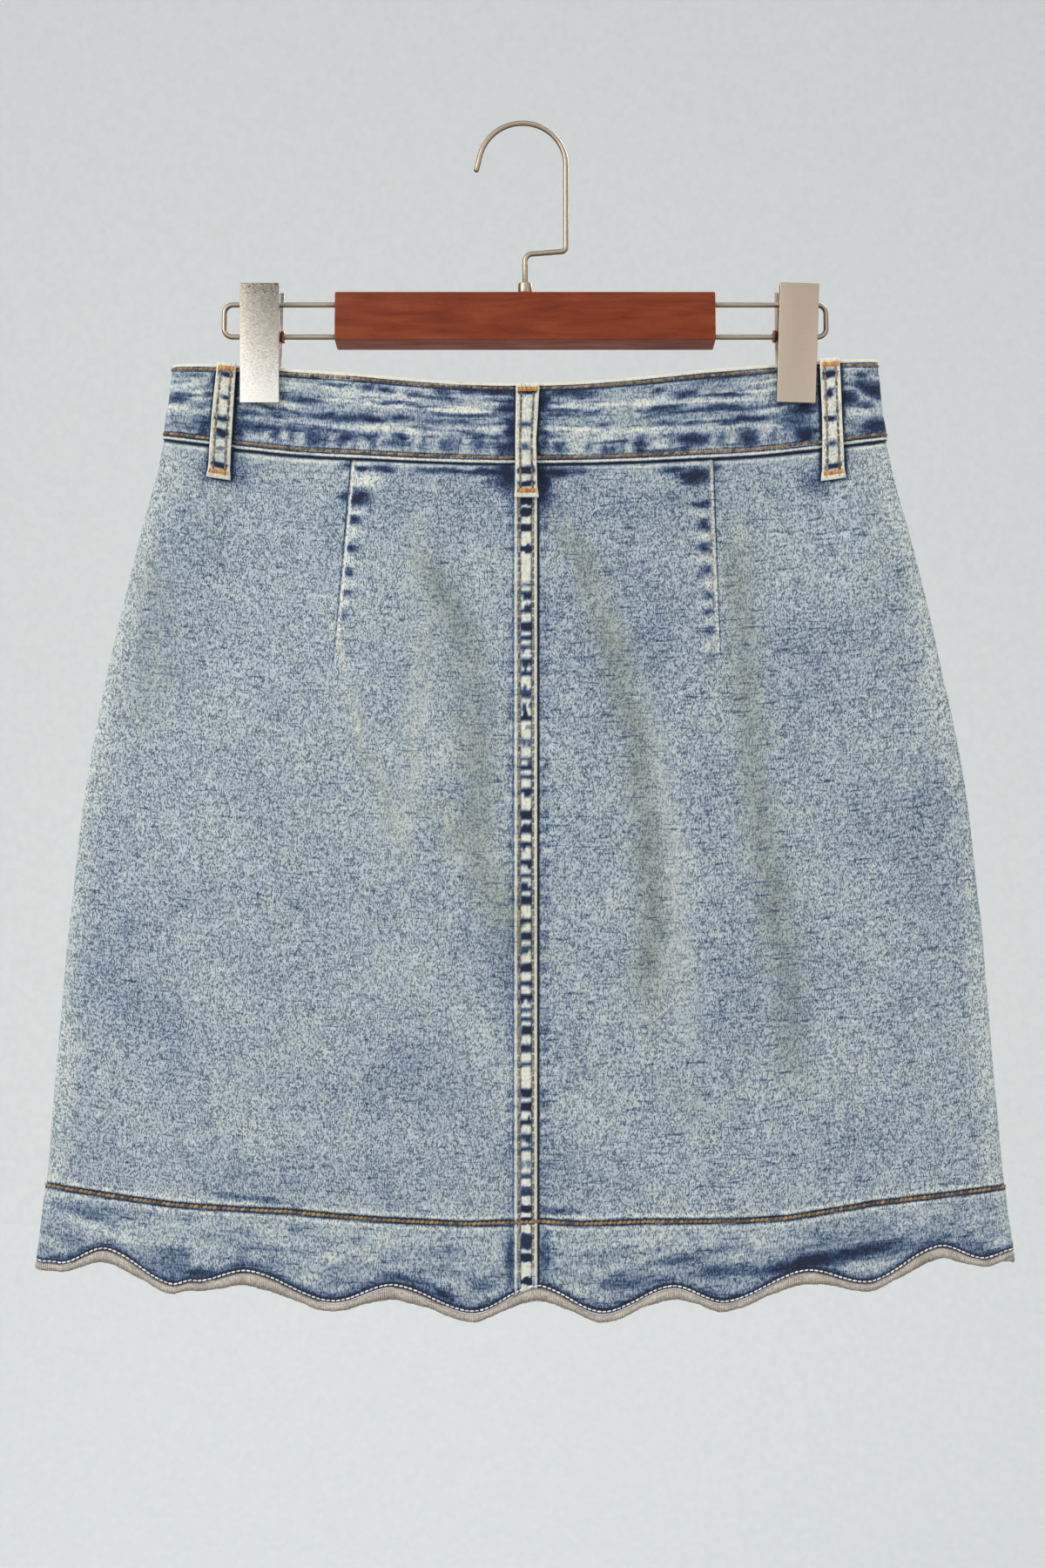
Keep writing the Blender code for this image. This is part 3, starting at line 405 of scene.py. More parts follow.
# ---------------- the wash
# Where the acid didn't reach, the indigo stayed: x, drop, half length, half height, lean, strength.
BAND_INDIGO = (
    (-160.9, 7.1, 1.3, 3.4, 0, 0.7), (-179.2, 17.4, 3, 2.5, 0, 0.8), (-164.1, 15.7, 3, 1.5, 0, 0.8),
    (-167.9, 21.7, 5.9, 1.3, 4, 0.6), (-167.2, 31.2, 2.1, 4.9, 8, 0.8), (-144, 23, 6.1, 1.2, 0, 0.8),
    (-129.9, 22.3, 3.9, 0.9, 0, 0.7), (-125.6, 13.2, 1.4, 1.2, 0, 0.6), (-113.1, 13.6, 6.6, 1.1, 2, 0.8),
    (-104, 21, 7, 1.3, 2, 0.7), (-90, 21.6, 8, 1.8, 2, 0.95), (-148.7, 30.7, 1.4, 4.5, 6, 0.7),
    (-140.5, 29.3, 2.3, 2.2, 0, 0.7), (-129.1, 29.5, 1.8, 3.3, -6, 0.8),
    (-110.3, 30.1, 2.3, 4.3, 12, 0.8), (-94.2, 30, 3.6, 2.1, 10, 0.8), (-83.8, 28.8, 1.4, 1.6, 0, 0.6),
    (-27.7, 3.9, 4.3, 3, 6, 0.8), (-41.5, 6.9, 3.2, 2.7, -10, 0.8), (-12, 4.6, 7.9, 2.3, 0, 0.95),
    (-8.4, 11, 4.4, 5.4, 0, 0.95), (-6.9, 24.3, 3, 12, 0, 1), (-81.5, 6.9, 2.9, 1.1, 0, 0.7),
    (-72.6, 6.8, 2.7, 1.3, 0, 0.7), (-57.5, 8.1, 3.4, 1, 0, 0.7), (-80.7, 20.8, 5.9, 1.5, 0, 1),
    (-64.5, 19.7, 5.4, 1.3, 0, 0.8), (-46.6, 19.7, 5.6, 1.4, 0, 0.5), (-32.9, 19.7, 5.4, 1, 0, 0.7),
    (-13.1, 20.7, 5.9, 0.8, 0, 0.7), (-81.4, 28.4, 4.3, 1.5, 8, 0.8), (-65.1, 28.5, 2, 3.6, 10, 0.7),
    (-40.3, 30.6, 2.5, 3.3, -8, 0.7), (-24.1, 29.1, 2, 3.9, 6, 0.7), (-10.1, 31, 4.4, 4.2, 0, 0.85),
    (9.6, 9.5, 2.2, 8, 0, 0.95), (25, 5.3, 7.9, 2.3, -4, 0.9), (10, 26, 1.5, 9, 0, 0.8),
    (69, 7.2, 1.6, 1.2, 0, 0.7), (82.8, 10.4, 4.7, 1.2, 0, 0.8), (103.6, 12.2, 7.9, 0.9, -2, 0.8),
    (16, 14.3, 2.9, 0.9, 0, 0.7), (34.5, 15.2, 3.8, 1, 0, 0.7), (72.8, 16, 5.2, 0.8, 0, 0.7),
    (72.3, 22.3, 4.7, 0.8, 0, 0.7), (87.9, 23.2, 5, 0.8, 0, 0.7), (115.5, 23.4, 9.5, 1.3, -2, 1),
    (18.9, 31.5, 2.3, 3.5, 0, 0.7), (42.5, 33.5, 2.9, 2, 6, 0.7), (59.4, 31.5, 2.5, 4.5, -14, 0.8),
    (85.6, 30.6, 6.3, 2.2, -6, 1), (82.4, 34, 2.3, 1.5, 0, 0.8), (117.1, 31.4, 3.4, 4, 10, 0.85),
    (144.4, 21.7, 6.6, 2.6, 4, 0.85), (146.6, 31.6, 4.8, 3.6, -10, 1), (165.2, 11.5, 2.3, 1.1, 0, 0.8),
    (167.5, 18.3, 4.6, 3.6, -14, 1), (176.2, 21.5, 3.7, 1.6, 10, 0.8), (174.6, 8.4, 3, 1.9, 0, 0.8),
    (178.9, 14.6, 6.4, 3.2, -26, 1), (182.8, 31.2, 6.6, 3.8, 6, 1), (42, 21, 4, 0.8, 0, 0.5),
    (-100, 6.5, 5, 0.9, 0, 0.5), (-66, 12.3, 9, 0.5, 3, 0.85), (-52, 13.3, 7, 0.5, 3, 0.75),
    (-140, 8.5, 5, 1.1, 0, 0.5), (140, 10.5, 4, 1, 0, 0.5),
)
BAND_WORN = (
    (-173.7, 10.6, 5.3, 1.6, 12, 0.8), (-175.9, 23.7, 7.6, 1.3, 0, 0.8), (-121.7, 10.2, 4.8, 1, 0, 0.8),
    (-117.8, 25.2, 30.8, 1.2, 0, 0.6), (-75.3, 9.9, 16.3, 1.5, 0, 0.8), (-66.5, 24, 25, 1.4, 0, 0.75),
    (-18.9, 27.8, 2.7, 5.6, 0, 0.7), (60.1, 25, 19.6, 1.2, 0, 0.7), (100.1, 26.2, 18, 1.1, 0, 0.7),
    (26.6, 28, 5, 4.3, 0, 0.7), (71.8, 31.2, 6.5, 3, 0, 0.6), (127.8, 20, 6.4, 1.5, -8, 0.8),
    (140.5, 25.1, 6.4, 1.5, -20, 0.7), (120.3, 13.9, 8.8, 1.5, 2, 0.8), (175.5, 25.3, 12.1, 2.2, -6, 0.8),
    (170.4, 29.4, 6, 4, 0, 0.4), (-78.7, 14.2, 7.5, 0.7, 0, 0.9), (-64.5, 14.5, 6.8, 0.7, 0, 0.9),
    (-51, 15, 7.2, 0.7, 0, 0.8), (22.5, 12, 10.4, 0.8, 0, 0.9), (44.2, 12.2, 11.3, 0.8, 0, 0.9),
    (66.7, 13, 11.3, 0.8, 0, 0.8), (89.1, 13.6, 11.1, 0.8, 0, 0.8), (110.4, 14.5, 10.2, 0.9, 0, 0.8),
    (167.7, 14.3, 5.3, 1.2, -22, 0.9), (179.1, 20.1, 6.2, 1.4, -26, 0.9),
)
PANEL_INDIGO = (
    (-8.5, 45, 4.5, 9.5, 22, 1), (9.4, 48, 2.4, 14, 0, 0.95), (-15, 43, 9, 2, 0, 0.95),
    (-13, 49, 5.5, 2, -4, 0.6), (15, 43.5, 6, 2.6, 0, 0.95), (24, 42.2, 9, 1.3, 0, 0.6),
    (13, 55, 3.5, 2, 0, 0.45), (-85.4, 43.5, 2.9, 1.3, 0, 0.9), (-73.8, 43.1, 4.1, 2, 0, 0.8),
    (-86.4, 59, 4.5, 4.1, 0, 1), (-90, 70.3, 2.3, 2, 0, 0.8), (-90.8, 85.3, 2.3, 1.8, 0, 0.75),
    (-91.9, 97, 2, 1.8, 0, 0.7), (-93, 108.5, 1.8, 1.6, 0, 0.65), (-94.5, 119.3, 1.6, 2, 0, 0.6),
    (-91.9, 42.6, 2.7, 1.3, 0, 0.8), (-93.4, 59.2, 1.6, 2.1, 0, 0.7), (-41.2, 43.1, 11, 1.6, 0, 0.75),
    (-24.8, 43.2, 5.4, 1.3, 0, 0.85), (77.6, 44.1, 4.3, 1.8, 0, 0.8), (88.5, 47.6, 6.1, 3.8, 0, 1),
    (91.6, 62.3, 2.9, 1.5, 0, 0.8), (92.9, 72.7, 2, 3.1, 0, 0.8), (93.7, 84.8, 2, 2.2, 0, 0.75),
    (94.1, 96, 2, 2.2, 0, 0.7), (94.5, 109, 2, 1.8, 0, 0.65), (95.2, 117.5, 1.4, 1.8, 0, 0.6),
    (95.6, 127.8, 1.8, 1.8, 0, 0.55), (96.3, 141.2, 1.6, 1.8, 0, 0.5), (98.8, 43.3, 1.6, 1.9, 0, 0.7),
    (-232.6, 437.6, 11.5, 2.3, -8, 0.4), (-238.5, 452, 13.4, 2.5, -14, 0.3),
    (-213, 450.4, 5.7, 1.4, -10, 0.3), (-185.1, 457.1, 8.7, 1.8, -10, 0.5),
    (-168.3, 458.3, 7, 1.8, 6, 0.85), (-140.1, 451.6, 9.5, 1.4, -4, 0.4),
    (-64, 453.2, 9.7, 1.5, -6, 0.65), (-42, 459.6, 5.2, 2.2, -24, 0.9), (77.2, 446.6, 13, 1.9, 4, 0.5),
    (102.8, 452.4, 12.6, 2.8, 0, 0.62), (98.3, 442.9, 8.1, 1.2, 0, 0.45), (147, 452.8, 15.5, 4, 4, 1),
    (171, 450.6, 17.5, 2.9, 5, 0.9), (128, 453.6, 10, 2, 4, 0.8), (146, 452.6, 33, 4, 5, 0.55),
    (196, 452, 12, 2.2, 2, 0.4), (186, 452.4, 8, 1, 4, 0.4), (152, 445, 12, 1, 3, 0.4),
    (214.1, 449.8, 6.4, 1.4, 12, 0.5), (-138.1, 422, 15.4, 1.5, -4, 0.45), (151, 55, 4.5, 7.5, 0, 0.45),
    (-150, 51, 4, 8, 0, 0.35), (-165.5, 52, 3, 6, 0, 0.35), (15.4, 422.7, 7.8, 1.3, 0, 0.6),
    (-7.4, 444, 1.4, 12.8, 0, 0.7), (9.5, 442, 2, 12.7, 0, 0.5),
)
PANEL_WORN = (
    (-53.6, 40.6, 34.2, 1.2, 0, 0.8), (-82.8, 49.4, 5.4, 3, 0, 0.8), (-87.3, 65.7, 3, 2, 0, 0.7),
    (-89.7, 76.5, 2.6, 2.9, 0, 0.7), (89.2, 40.6, 5.4, 1.2, 0, 0.8), (91.1, 67, 3.6, 2, 0, 0.7),
    (92.4, 78.9, 3, 2.2, 0, 0.7), (-91.2, 91.2, 2.8, 1.9, 0, 0.6), (-92.6, 102.8, 2.6, 1.8, 0, 0.6),
    (-94.2, 114, 2.4, 1.8, 0, 0.55), (-96.3, 125, 2.2, 2.2, 0, 0.5), (93.8, 90.6, 2.8, 2, 0, 0.65),
    (94.4, 102.4, 2.6, 2, 0, 0.6), (95, 113.4, 2.4, 1.6, 0, 0.55), (95.6, 122.6, 2.2, 1.8, 0, 0.5),
    (96.2, 134.6, 2.2, 2.2, 0, 0.45), (-224, 445.1, 24.2, 2.6, -10, 0.4), (178, 40.5, 13, 1.2, 0, 0.6),
    (60, 437, 20, 2.5, 0, 0.3),
)
BROAD_INDIGO = (
    (-213, 318, 24, 30, 0, 0.12), (-60, 360, 28, 20, 0, 0.1), (150, 140, 30, 24, 0, 0.09),
    (-7, 296, 9, 24, 0, 0.18), (-34, 62, 42, 16, 0, 0.12), (62, 62, 52, 13, 0, 0.12),
    (-176, 90, 22, 26, 14, 0.07), (205, 250, 18, 40, 0, 0.07), (96, 322, 24, 30, 0, 0.07),
    (188, 392, 30, 20, 0, 0.06), (44, 128, 30, 44, 0, 0.1), (-150, 408, 46, 12, 0, 0.1),
    (30, 404, 30, 16, 0, 0.1),
)
# Lines along the folds, partly worn in by the wash and partly painted: painted shade in their
# troughs as indigo and a warm tint, painted light on their ridges as bleach. Columns: half width,
# how strong the warm tint, how much indigo, how much bleach, and points of x, drop down the line.
Crease = namedtuple("Crease", "half_width yellowed indigo bleached points")
CREASES = (
    Crease(8.5, 0.7, 0.11, 0, ((16, 58), (33, 101), (42, 127), (55, 168), (61, 210), (66, 262), (63, 336))),
    Crease(9.5, 0.58, 0.08, 0, ((108, 70), (113, 130), (115, 175), (123, 240), (135, 298), (138, 368))),
    Crease(10.5, 0.58, 0.08, 0, ((-57, 80), (-35, 121), (-24, 163), (-25, 228), (-17, 262), (1, 300))),
    Crease(1.1, 0.2, 0, 0.55, ((-99, 122), (-94.5, 145), (-89, 167), (-83, 190), (-77, 206))),
    Crease(5.5, 0.3, 0, 0.13, ((-90, 160), (-82, 190), (-68, 224), (-58, 252))),
    Crease(11, 0.6, 0, 0.1, ((-45, 212), (-20, 248), (0, 284), (3, 306))),
    Crease(12, 0.3, 0, 0, ((-196, 92), (-190, 130), (-198, 190))),
    Crease(12, 0.4, 0, 0.06, ((70, 352), (90, 372), (104, 384))),
    Crease(7, 0, 0, 0.22, ((34, 96), (62, 160), (76, 225), (80, 300), (86, 352))),
    Crease(6, 0.12, 0, 0.22, ((-56, 60), (-52, 130), (-58, 200), (-66, 260))),
)
# The indigo ovals that the roped centre seam kept: drop, half height, strength.
OVALS = (
    (47.5, 2.2, 1), (52.4, 1.9, 0.8), (58.2, 2.3, 1), (64.1, 2.5, 1), (72.2, 2, 1), (83, 2, 1),
    (101.9, 1.4, 0.5), (106.8, 2, 0.8), (114.4, 2, 0.8), (123, 2.7, 0.9), (128.8, 1.4, 0.9),
    (134.1, 1.6, 0.7), (141.3, 2, 0.8), (147.1, 2, 0.9), (156.9, 2.7, 0.7), (164.5, 1.4, 0.7),
    (169.9, 2, 1), (175.7, 1.1, 0.5), (181.9, 2.5, 0.6), (191.2, 2, 0.6), (195.7, 1.6, 0.9),
    (200.6, 1.4, 0.7), (207.2, 2.3, 0.9), (219.2, 2.7, 1), (227.2, 2.5, 1), (234.8, 1.8, 1),
    (243.7, 2.3, 1), (249.9, 1.6, 0.7), (256.6, 1.8, 0.8), (263.2, 2.3, 0.9), (273.5, 2.3, 0.9),
    (281.5, 2, 0.8), (288.2, 1.8, 0.7), (298, 2.5, 1), (305.6, 2, 0.9), (312.7, 2.3, 1), (319, 1.4, 0.7),
    (323.4, 1.6, 0.8), (329.6, 2, 0.9), (338.6, 2.5, 0.8), (346.6, 1.8, 0.8), (360.8, 2.5, 1),
    (368.4, 2.5, 1), (376.4, 2, 1), (384, 2, 0.8), (389.9, 1.8, 0.8), (398.1, 1.6, 0.5),
    (404.5, 1.6, 0.7), (412.1, 3, 0.7), (420.9, 2, 0.9), (426.9, 2, 0.9), (436.1, 4.1, 0.8),
    (443.3, 2, 0.9), (453.3, 1.6, 1),
)
OVAL_X, OVAL_HALF_WIDTH = 0.7, 3.3
ROPING = 6.9  # from one oval to the next down the fly
Wash = namedtuple("Wash", "indigo worn yellowed felted", defaults=(0.0, 0.0))


def patches(table, x, drop):
    """How strongly the patches of a wash table show, from 0 to 1, with ragged outlines."""
    # The outlines wander by a millimetre or two, and lumps of the wash bite into each patch.
    ragged_x = x + 1.6 * mottle(x, drop * 1.8, 4.2, 4)
    ragged_drop = drop + 0.7 * mottle(x, drop, 5.2, 8) + 0.3 * mottle(x, drop, 2.1, 9)
    bitten = 0.86 + 0.14 * mottle(x, drop * 3.2, 4.6, 14)
    most = np.zeros_like(x * drop)
    for centre_x, centre_drop, half_x, half_drop, lean, strength in table:
        turn = math.radians(lean)
        right, down = ragged_x - centre_x, ragged_drop - centre_drop
        along = (right * math.cos(turn) - down * math.sin(turn)) / (half_x * 1.25 + 0.6)
        over = (right * math.sin(turn) + down * math.cos(turn)) / (half_drop * 0.92 + 0.25)
        most = np.maximum(most, strength * np.exp(-((along**2 + over**2) ** 1.2) * 0.65))
    return most * bitten


def roped_seam(x, drop, places):
    """Ovals of indigo along a seam's rows of stitching, with pale cloth between them."""
    wander = drop + 1.7 * ripple(drop, 31.0, 0.3)
    beat = 0.5 + 0.5 * np.cos(2 * np.pi * (wander + 0.08 * x) / ROPING)
    uneven = 0.85 + 0.15 * mottle(x, drop, 9.0, 12)
    indigo, worn = 0.0, 0.0
    for place, reach in places:
        indigo = np.maximum(indigo, smooth(beat * 1.9 - 0.5) * hump(x - place, reach) * uneven)
        worn = np.maximum(worn, smooth(0.72 - beat * 1.5) * hump(x - place, reach * 1.2))
    return indigo, worn


def seam_ovals(x, drop):
    """The ovals of indigo down the centre back, squarish where the rows of thread held them."""
    most = np.zeros_like(x * drop)
    leaning = drop + 0.5 * ripple(x * 1.3 + drop, 7.7, 2.0)
    across = np.abs((x - OVAL_X) / OVAL_HALF_WIDTH) ** 3.5
    for centre, half_height, strength in OVALS:
        over = np.abs((leaning - centre) / (half_height * 0.95)) ** 2.6
        most = np.maximum(most, strength * smooth((1.3 - across - over) / 0.7))
    return most


def creases(face, x, drop):
    """The fold lines, as indigo, bleach, a warm tint and felting: partly the wash's wear, partly
    painted shade in their troughs and painted light on their ridges.
    """
    way, fold_tint_share = (x, 1.0) if face == BACK else (-0.9 * x, 0.5)
    layers = np.zeros((4,) + np.shape(x * drop))
    for crease in CREASES:
        line = np.array(crease.points, float)
        centre = np.interp(drop, line[:, 1], line[:, 0]) + 1.3 * ripple(drop, 47.0, crease.half_width)
        fade = smooth((drop - line[0, 1]) / 30 + 0.3) * smooth((line[-1, 1] - drop) / 40 + 0.2)
        worn_in = hump(way - centre, crease.half_width) * fade * (0.8 + 0.2 * mottle(x, drop, 14.0, 61))
        amounts = (crease.indigo, crease.bleached, crease.yellowed * fold_tint_share, 0.6)
        layers = np.maximum(layers, np.multiply.outer(amounts, worn_in))
    return layers


def panel_wash(face, side, x, drop):
    """What the acid wash, sewing and wear did to a panel."""
    on_back, on_left = face == BACK, side == LEFT
    row, stitched = drop - facing_row(face, x), drop - hem_row(face, x)
    below_band = drop - WAIST_DROP
    uneven = 0.65 + 0.35 * mottle(x, drop, 7.0, 20)
    drifts = smooth(mottle(x, drop * 4.0, 23.0, 23) * 1.5 - 0.35) * smooth((row - 9.0) / 10.0)
    streaks = 1.2 * mottle(x, drop * 3.8, 15.0, 29) + 0.8 * mottle(x, drop * 3.0, 6.5, 31)
    on_facing = smooth((row - 2.0) / 6.0)
    # Along the folds: indigo and a warm tint, partly painted shade; bleach, partly painted light.
    dye_and_fold_shade, bleached, yellowed, rubbed = creases(face, x, drop)
    indigo = strongest(
        hump(row + 0.95, 0.7) * (0.75 + 0.25 * uneven),  # above and below the facing's stitching
        hump(row - 1.0, 0.6) * (0.6 + 0.4 * uneven),
        hump(stitched + 0.35, 1.55),  # along the white stitching
        0.55 * hump(stitched + 2.3, 1.6) * uneven,
        # painted shadow just under the waistband's edge
        hump(below_band - 0.1, 0.85),
        0.75 * (drifts * (0.5 if on_back else 1.0)),
        0.16 * smooth(streaks) * on_facing,
        dye_and_fold_shade,
        patches(BROAD_INDIGO, x if on_back else -x, drop),
        # painted shadow round the belt loops
        0.9 * painted_loop_shadow(face, x, drop),
    )
    worn = strongest(
        0.66 * hump(row + 2.8, 1.05) * (0.7 + 0.3 * ripple(x, 9.5, 1.0)),  # the ridge by the facing
        0.17 * smooth(-streaks) * on_facing,
        0.35 * hump(row - 2.6, 1.2),
        0.85 * hump(below_band - 2.1, 0.9) * (0.75 + 0.25 * mottle(x, drop, 11.0, 77)),
        0.22 * smooth((np.abs(x) - section_at(drop)[1] + 16.0) / 14.0),  # the fold at the side seam
        bleached,
    )
    if on_back:
        down, away = from_dart(side, x, drop)
        # The dark line beside each dart's line is painted shadow in its crease.
        line = 0.8 * hump(away - 1.1, 0.45) * (1 - down) ** 0.3 * (down < 1)
        ridge = hump(away + 0.15, 0.85) * (1 - down) ** 0.25 * (down < 1)
        indigo = strongest(indigo, patches(PANEL_INDIGO, x, drop), line) * (1 - 0.9 * ridge)
        worn = strongest(worn, patches(PANEL_WORN, x, drop), ridge)
        strip = np.exp(-(np.abs((x - OVAL_X) / 3.8) ** 6)) * on_left
        # The dark lines just inside the two rows of thread on the strip are painted shadow.
        rows = 0.8 * sum(hump(x - place, 0.42) for place in (-2.4, 3.2)) + 0.6 * hump(x + 6.2, 0.5)
        rows = rows * (0.75 + 0.25 * ripple(drop, 7.4, 0.7)) * on_left
        beside = seam_ovals(x + 6.4, drop) * 0.34 + seam_ovals(x - 8.6, drop) * 0.30
        # On the right, the dark line just past the felled seam's edge is painted shadow.
        edge = beside if on_left else 0.95 * hump(x - 6.9, 0.55)
        indigo = strongest(indigo * (1 - strip), seam_ovals(x, drop) * strip, rows, edge, beside)
        ridges = (hump(x - 5.6, 0.75) + hump(x + 4.8, 0.6)) * on_left
        indigo = indigo * (1 - 0.9 * np.clip(ridges, 0, 1))
        worn = strongest(worn, strip * (0.85 + 0.15 * mottle(x, drop, 5.0, 71)), ridges)
    else:
        broad = mottle(x, drop, 31.0, 27) * smooth((70 - drop) / 40)
        dark, pale = roped_seam(x, drop, ((-8.4, 1.5), (-2.6, 1.6), (1.8, 1.5)))
        fly = hump(fly_distance(x, drop), 1.2) * on_left
        indigo = strongest(indigo, 0.7 * smooth(broad * 1.6 - 0.4), dark * 0.75, 0.6 * fly)
        worn = np.maximum(worn, pale * 0.7)
    felted = strongest(
        rubbed,
        0.8 * hump(below_band, 5.0),
        0.15 * smooth((row + 5.0) / 4.0),
        0.8 * smooth((x + 6.4) / 0.6) * on_left,  # on the strip of the centre seam
    )
    return Wash(indigo, worn * (1 - indigo), yellowed, felted)


def painted_loop_shadow(face, x, drop):
    """Painted shadow round each belt loop: a dark line, wider on its right."""
    most = np.zeros_like(x * drop)
    for loop in LOOPS:
        if loop.face == face:
            row = (drop - loop.drops[0]) / (loop.drops[1] - loop.drops[0])
            half = np.interp(row, (0.0, 0.5, 1.0), loop.halves)
            right = x - loop_x(loop, row)
            away = np.abs(right) - half
            ends = smooth((1.04 - row) * 18)
            reach = np.where(right > 0, 1.9, 1.4)
            most = np.maximum(most, np.where(away < 0, 1.0, hump(away, reach)) * ends)
    return most


def band_wash(face, x, drop):
    """What the acid wash, sewing and wear did to the waistband."""
    uneven = 0.7 + 0.3 * mottle(x, drop, 6.0, 30)
    # Dark lines just above and below each row, stronger below: kept indigo and painted shadow of the thread.
    rows = 0.7 * sum(hump(drop - row + 0.95, 0.3) for row in BAND_ROW_DROPS)
    rows = rows + sum(hump(drop - row - 1.05, 0.42) for row in BAND_ROW_DROPS)
    level = drop + 0.9 * ripple(x, 71.0, 1.0)  # the streaks wander a little along the band
    drawn = 0.8 * mottle(x, level * 12.0, 31.0, 52) + 0.6 * mottle(x, level * 8.0, 13.0, 54)
    if face == BACK:
        dark, pale = 0.9 * patches(BAND_INDIGO, x, drop), 0.78 * patches(BAND_WORN, x, drop)
    else:
        dark = 0.65 * smooth(mottle(x, drop * 2.6, 13.0, 33) * 1.7 - 0.55)
        pale = 0.6 * smooth(-mottle(x, drop * 4.5, 21.0, 36) * 1.7 - 0.5)
    beat = 1.4 * ripple(x + 0.25 * drop, 8.6, 4.0 + face)
    upright = hump(drop - 30.5, 4.2)
    indigo = strongest(
        rows * (0.6 + 0.4 * uneven),
        0.02 + 0.5 * smooth(drawn * 1.1),
        dark,
        0.4 * smooth(beat - 0.1) * upright,
        # painted shadow round the belt loops
        0.95 * painted_loop_shadow(face, x, drop),
    )
    edges = np.maximum(smooth((1.75 - drop) / 0.3), hump(drop - 37.9, 0.5))
    worn = strongest(
        pale,
        0.35 * smooth(-beat - 0.1) * upright,
        0.7 * smooth(mottle(x, level * 17.0, 33.0, 57) * 1.7 - 0.3),
        edges,
    )
    # The band's rounded lower side is drawn full indigo: painted shade under its edge.
    indigo = np.maximum(indigo * (1 - 0.95 * edges), smooth((drop - 38.5) / 0.3))
    return Wash(indigo, worn * (1 - 0.8 * indigo), felted=np.maximum(0.5, edges))


FLY_WIDTH = 38.0
FLY_LENGTH = 168.0
FLY_CURVE = 34.0  # the radius in which the fly's stitching turns to the centre front


def fly_path(inset=0.0):
    """The J of the fly's topstitching, as x and drop."""
    side = -FLY_WIDTH + inset
    straight = FLY_LENGTH - FLY_CURVE
    drops = np.linspace(WAIST_DROP + 1.5, straight, 120)
    turn = np.linspace(0.0, np.pi / 2, 60)[1:]
    radius = FLY_CURVE - inset
    x = np.concatenate((np.full(drops.size, side), side + radius * (1 - np.cos(turn)) * 0.9))
    return x, np.concatenate((drops, straight + radius * np.sin(turn)))


def fly_distance(x, drop):
    """How far to the right of the fly's stitching a point is, or far away below it."""
    path_x, path_drop = fly_path()
    line = np.interp(drop, path_drop, path_x)
    return np.where(drop < path_drop[-1], x - line, 99.0)


# ---------------- making pieces
def new_piece(name, data, nodes=()):
    """Adds a piece that rides on the skirt and hanger, in place of the CAD nodes it names."""
    made = bpy.data.objects.new(name, data)
    bpy.context.scene.collection.objects.link(made)
    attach(made, "root")
    if nodes:
        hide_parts(*nodes)


def dressed(data, material, values=None):
    """Gives a mesh its material, and the attributes in values, which have one entry a point."""
    for key, value in (values or {}).items():
        value = np.ascontiguousarray(value, dtype=np.float32)
        kind, field = ("FLOAT_VECTOR", "vector") if value.ndim == 2 else ("FLOAT", "value")
        data.attributes.new(key, kind, "POINT").data.foreach_set(field, value.ravel())
    data.materials.append(material)
    data.shade_smooth()
    return data


def mesh_from(name, points, faces, material, values):
    """A mesh of quads from points in millimetres, turned so that its faces look outwards."""
    first = points[faces[:, 0]]
    turned_out = 0.0
    for step in range(1, faces.shape[1] - 1):
        sides = np.cross(points[faces[:, step]], points[faces[:, step + 1]])
        turned_out += np.einsum("ij,ij->", first, sides)
    if turned_out < 0:
        faces = faces[:, ::-1]
    data = bpy.data.meshes.new(name)
    data.from_pydata((points * MM).tolist(), [], faces.tolist())
    return dressed(data, material, values)


def closed_mesh(name, points, quads, material, values=None, triangles=()):
    """A mesh of quads, closed by triangles, from points in millimetres."""
    data = bpy.data.meshes.new(name)
    data.from_pydata((points * MM).tolist(), [], quads.tolist() + np.asarray(triangles).tolist())
    work = bmesh.new()
    work.from_mesh(data)
    bmesh.ops.recalc_face_normals(work, faces=work.faces)
    if work.calc_volume(signed=True) < 0:
        bmesh.ops.reverse_faces(work, faces=work.faces)
    work.to_mesh(data)
    work.free()
    return dressed(data, material, values)


def grid_faces(rows, columns, start=0, round_columns=False, round_rows=False):
    """The quads of a grid of points, closed on itself where it is round."""
    index = np.arange(rows * columns).reshape(rows, columns) + start
    if round_rows:
        index = np.concatenate((index, index[:1]))
    if round_columns:
        index = np.concatenate((index, index[:, :1]), axis=1)
    corners = (index[:-1, :-1], index[:-1, 1:], index[1:, 1:], index[1:, :-1])
    return np.stack(corners, axis=-1).reshape(-1, 4)


def repeated(faces, count, step, start=0):
    """The faces of one shape for each of its copies, whose points follow each other."""
    return (faces[None] + (np.arange(count) * step + start)[:, None, None]).reshape(-1, faces.shape[1])


def fan_caps(rings, sides):
    """Triangles that close the first and the last ring of a tube, each as a fan."""
    fan = np.array([(0, index + 1, index) for index in range(1, sides - 1)])
    return fan, fan[:, ::-1] + (rings - 1) * sides


def pointed_caps(rings, sides):
    """Triangles that close a tube with the two points that come after its rings."""
    ring, count = np.arange(sides), rings * sides
    far = ring + count - sides
    return np.concatenate((
        np.stack((ring, np.roll(ring, -1), np.full(sides, count)), axis=-1),
        np.stack((np.roll(far, -1), far, np.full(sides, count + 1)), axis=-1),
    ))


def edge_distance(points):
    """How far each point of a grid is from the grid's nearest edge, along the cloth."""
    distance = None
    for axis in (0, 1):
        steps = np.linalg.norm(np.diff(points, axis=axis), axis=-1)
        way = np.cumsum(steps, axis=axis)
        start = np.zeros_like(np.take(way, [0], axis=axis))
        way = np.concatenate((start, way), axis=axis)
        nearest = np.minimum(way, np.take(way, [-1], axis=axis) - way)
        distance = nearest if distance is None else np.minimum(distance, nearest)
    return distance


CLOTH_SEEDS = {}  # so that no two cuts of cloth have the same weave
INSIDE_SHARES = {"indigo": 0.4, "worn": 0.4, "yellowed": 1.0, "felted": 1.0}  # of the wash outside


